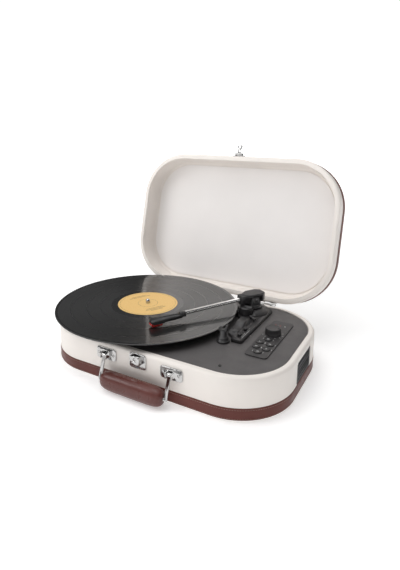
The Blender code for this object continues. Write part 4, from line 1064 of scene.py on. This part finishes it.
def groove_material():
    """Pressed vinyl: rings by radius for grooves and the gaps between tracks, shining across them."""
    finish, tree, shader = node_material("pressed vinyl")
    where = add(tree, "ShaderNodeSeparateXYZ")
    link(coordinates(tree), where.inputs["Vector"])
    flat = add(tree, "ShaderNodeCombineXYZ")
    link(where.outputs["X"], flat.inputs["X"])
    link(where.outputs["Y"], flat.inputs["Y"])
    length = add(tree, "ShaderNodeVectorMath", operation="LENGTH")
    link(flat.outputs["Vector"], length.inputs[0])
    share = add(tree, "ShaderNodeMath", operation="DIVIDE")
    share.inputs[1].default_value = LP_RADIUS
    link(length.outputs["Value"], share.inputs[0])
    rings = [(0.0, 0.16), (0.40, 0.16), (0.405, 0.30), (0.52, 0.30), (0.523, 0.2), (0.528, 0.2)]
    rings += [(0.531, 0.31), (0.66, 0.31), (0.663, 0.2), (0.668, 0.2), (0.671, 0.29), (0.83, 0.29)]
    rings += [(0.833, 0.2), (0.838, 0.2), (0.841, 0.31), (0.965, 0.31), (0.97, 0.15), (1.0, 0.15)]
    link(ramp(tree, share.outputs["Value"], rings), shader.inputs["Roughness"])
    wave = add(tree, "ShaderNodeMath", operation="SINE")
    count = add(tree, "ShaderNodeMath", operation="MULTIPLY")
    count.inputs[1].default_value = 2 * math.pi * 190
    link(share.outputs["Value"], count.inputs[0])
    link(count.outputs["Value"], wave.inputs[0])
    bump(tree, shader, wave.outputs["Value"], 0.10, 0.02 * MM)
    tangent = add(tree, "ShaderNodeTangent", direction_type="RADIAL", axis="Z")
    link(tangent.outputs["Tangent"], shader.inputs["Tangent"])
    link(ramp(tree, noise(tree, 30), [(0.3, 0.010), (0.7, 0.014)]), shader.inputs["Base Color"])
    shader.inputs["Anisotropic"].default_value = 0.9
    shader.inputs["Specular IOR Level"].default_value = 0.36
    shader.inputs["Coat Weight"].default_value = 1.0
    shader.inputs["Coat Roughness"].default_value = 0.085
    return finish


def label_material():
    finish, tree, shader = node_material("paper label")
    fibres = noise(tree, 500, 5, 0.7)
    link(ramp(tree, fibres, [(0.3, (0.76, 0.48, 0.16)), (0.7, (0.86, 0.58, 0.23))]),
         shader.inputs["Base Color"])
    shader.inputs["Roughness"].default_value = 0.55
    bump(tree, shader, fibres, 0.15, 0.05 * MM)
    return finish


def build_record_prop():
    """A 12 inch record on the mat. It isn't a part of the player, so it's staged. It overhangs the
    case and the lid can't close over it, so it goes below the floor once the lid starts to turn."""
    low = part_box("slip_mat")[1].z + 0.1 * MM
    high = low + LP_THICKNESS
    inner = LABEL_RADIUS + 2 * MM
    disc = [(3.7 * MM, low + 0.2 * MM), (LP_RADIUS - 1.2 * MM, low + 0.1 * MM)]
    disc += [(LP_RADIUS - 0.3 * MM, low + 0.4 * MM), (LP_RADIUS, low + 0.85 * MM)]
    disc += [(LP_RADIUS - 0.3 * MM, high - 0.2 * MM), (LP_RADIUS - 1.4 * MM, high)]
    disc += [(LP_RADIUS - 4 * MM, high - 0.25 * MM), (inner + 4 * MM, high - 0.25 * MM)]
    disc += [(inner, high - 0.05 * MM), (3.7 * MM, high)]
    disc = turned([(r, z - low) for r, z in disc], 160, closed=True)
    record = object_from("staged_record", disc, groove_material())
    label = washer(3.7 * MM, LABEL_RADIUS, high + 0.03 * MM - low, high + 0.14 * MM - low, 96)
    paper = object_from("staged_label", label, label_material())
    dark = print_ink("label print", (0.10, 0.06, 0.03))
    lines = []
    for radius in (46.5, 16.5):
        lines.append(washer((radius - 0.15) * MM, (radius + 0.15) * MM, 0, 0.05 * MM, 96))
    for y, width in ((34, 26), (30, 38), (-24, 30), (-28, 36), (-32, 22)):
        lines.append(bar(width, 0.9, 0, y))
    printed = placed(merged(lines), at(0, 0, high - low + 0.16 * MM))
    marks = object_from("staged_label_print", printed, dark)
    for item in (record, paper, marks):
        item.location = (PLATTER.x, PLATTER.y, low)
        item.rotation_euler = (0, 0, math.radians(62))
        sink = item.constraints.new("TRANSFORM")
        sink.target = frame["bodies"]["lid"]
        sink.map_from = "ROTATION"
        sink.map_to = "LOCATION"
        sink.map_to_z_from = "X"
        sink.from_min_x_rot = math.radians(2)
        sink.from_max_x_rot = math.radians(6)
        sink.to_min_z = 0
        sink.to_max_z = -0.5
        sink.mix_mode = "ADD"


# ---------------------------------------------------------------- studio

def build_floor():
    finish, tree, shader = node_material("studio floor")
    link(ramp(tree, noise(tree, 3), [(0.3, 0.90), (0.7, 0.92)]), shader.inputs["Base Color"])
    shader.inputs["Roughness"].default_value = 0.9
    shader.inputs["Specular IOR Level"].default_value = 0.1
    shader.inputs["Emission Color"].default_value = (1, 1, 1, 1)
    spread = add(tree, "ShaderNodeVectorMath", operation="LENGTH")
    link(coordinates(tree), spread.inputs[0])
    glow = add(tree, "ShaderNodeMapRange")
    for key, value in {"From Min": 0.5, "From Max": 1.5, "To Min": 0.36, "To Max": 1.0}.items():
        glow.inputs[key].default_value = value
    link(spread.outputs["Value"], glow.inputs["Value"])
    link(glow.outputs["Result"], shader.inputs["Emission Strength"])
    floor = object_from("studio_floor", slab(arc((0, 0), 14, 0, 360, 64)[:-1], -0.02, 0), finish)


def area_light(name, place, target, width, height, power):
    lamp = bpy.data.lights.new(name, "AREA")
    lamp.shape = "RECTANGLE"
    lamp.size = width
    lamp.size_y = height
    lamp.energy = power
    item = bpy.data.objects.new(name, lamp)
    item.location = place
    item.rotation_euler = (Vector(target) - Vector(place)).to_track_quat("-Z", "Y").to_euler()
    bpy.context.scene.collection.objects.link(item)


def build_world():
    """Soft surround: bright above, dim at the horizon and to the right, plain white where it's seen."""
    world = bpy.data.worlds.new("studio")
    world.use_nodes = True
    tree = world.node_tree
    surround = tree.nodes["Background"]
    where = add(tree, "ShaderNodeTexCoord")
    split = add(tree, "ShaderNodeSeparateXYZ")
    link(where.outputs["Generated"], split.inputs["Vector"])
    height = ramp(tree, split.outputs["Z"], [(0.0, 0.16), (0.42, 0.05), (0.60, 0.82), (0.8, 1.05)])
    facing = add(tree, "ShaderNodeMath", operation="MULTIPLY")
    facing.inputs[1].default_value = -1.0
    link(split.outputs["Y"], facing.inputs[0])
    front = ramp(tree, facing.outputs["Value"], [(0.35, 0.0), (0.75, 0.48)])
    flank = add(tree, "ShaderNodeMix", data_type="RGBA", blend_type="MULTIPLY")
    flank.inputs["Factor"].default_value = 1.0
    link(height, flank.inputs["A"])
    link(ramp(tree, split.outputs["X"], [(0.1, 1.0), (0.6, 0.25)]), flank.inputs["B"])
    both = add(tree, "ShaderNodeMix", data_type="RGBA", blend_type="LIGHTEN")
    both.inputs["Factor"].default_value = 1.0
    link(flank.outputs["Result"], both.inputs["A"])
    link(front, both.inputs["B"])
    link(both.outputs["Result"], surround.inputs["Color"])
    surround.inputs["Strength"].default_value = 0.9
    white = add(tree, "ShaderNodeBackground", color=(1, 1, 1, 1), strength=1.05)
    path = add(tree, "ShaderNodeLightPath")
    mix = add(tree, "ShaderNodeMixShader")
    link(path.outputs["Is Camera Ray"], mix.inputs["Fac"])
    link(surround.outputs["Background"], mix.inputs[1])
    link(white.outputs["Background"], mix.inputs[2])
    link(mix.outputs["Shader"], tree.nodes["World Output"].inputs["Surface"])
    bpy.context.scene.world = world


def build_studio():
    build_floor()
    build_world()
    area_light("key", (-1.25, -1.15, 1.2), (0, 0, 0.08), 0.9, 0.8, 9.6)
    area_light("top", (-0.1, -0.2, 1.7), (0, 0, 0.05), 1.4, 1.2, 8)
    bpy.context.scene.view_settings.view_transform = "Standard"
    bpy.context.scene.view_settings.look = "None"


def build_camera():
    lens = bpy.data.cameras.new("camera")
    lens.sensor_fit = "AUTO"
    lens.sensor_width = 36
    lens.lens = CAMERA_FOCAL_LENGTH
    lens.shift_x, lens.shift_y = CAMERA_SHIFT
    lens.clip_start = 0.01
    camera = bpy.data.objects.new("camera", lens)
    azimuth, elevation, roll = (
        math.radians(angle) for angle in (CAMERA_AZIMUTH, CAMERA_ELEVATION, CAMERA_ROLL))
    back = Vector((math.sin(azimuth) * math.cos(elevation), -math.cos(azimuth) * math.cos(elevation),
                   math.sin(elevation)))
    camera.location = CAMERA_PLACE
    camera.rotation_mode = "QUATERNION"
    spin = Matrix.Rotation(roll, 3, back).to_quaternion()
    camera.rotation_quaternion = spin @ (-back).to_track_quat("-Z", "Y")
    bpy.context.scene.collection.objects.link(camera)
    bpy.context.scene.camera = camera


def build_player():
    build_case()
    build_underside()
    build_sides()
    build_rear()
    build_lid()
    build_hinges()
    build_front()
    build_grip()
    build_platter()
    build_arm()
    build_controls()
    build_plate_print()
    build_record_prop()


build_player()
build_studio()
build_camera()
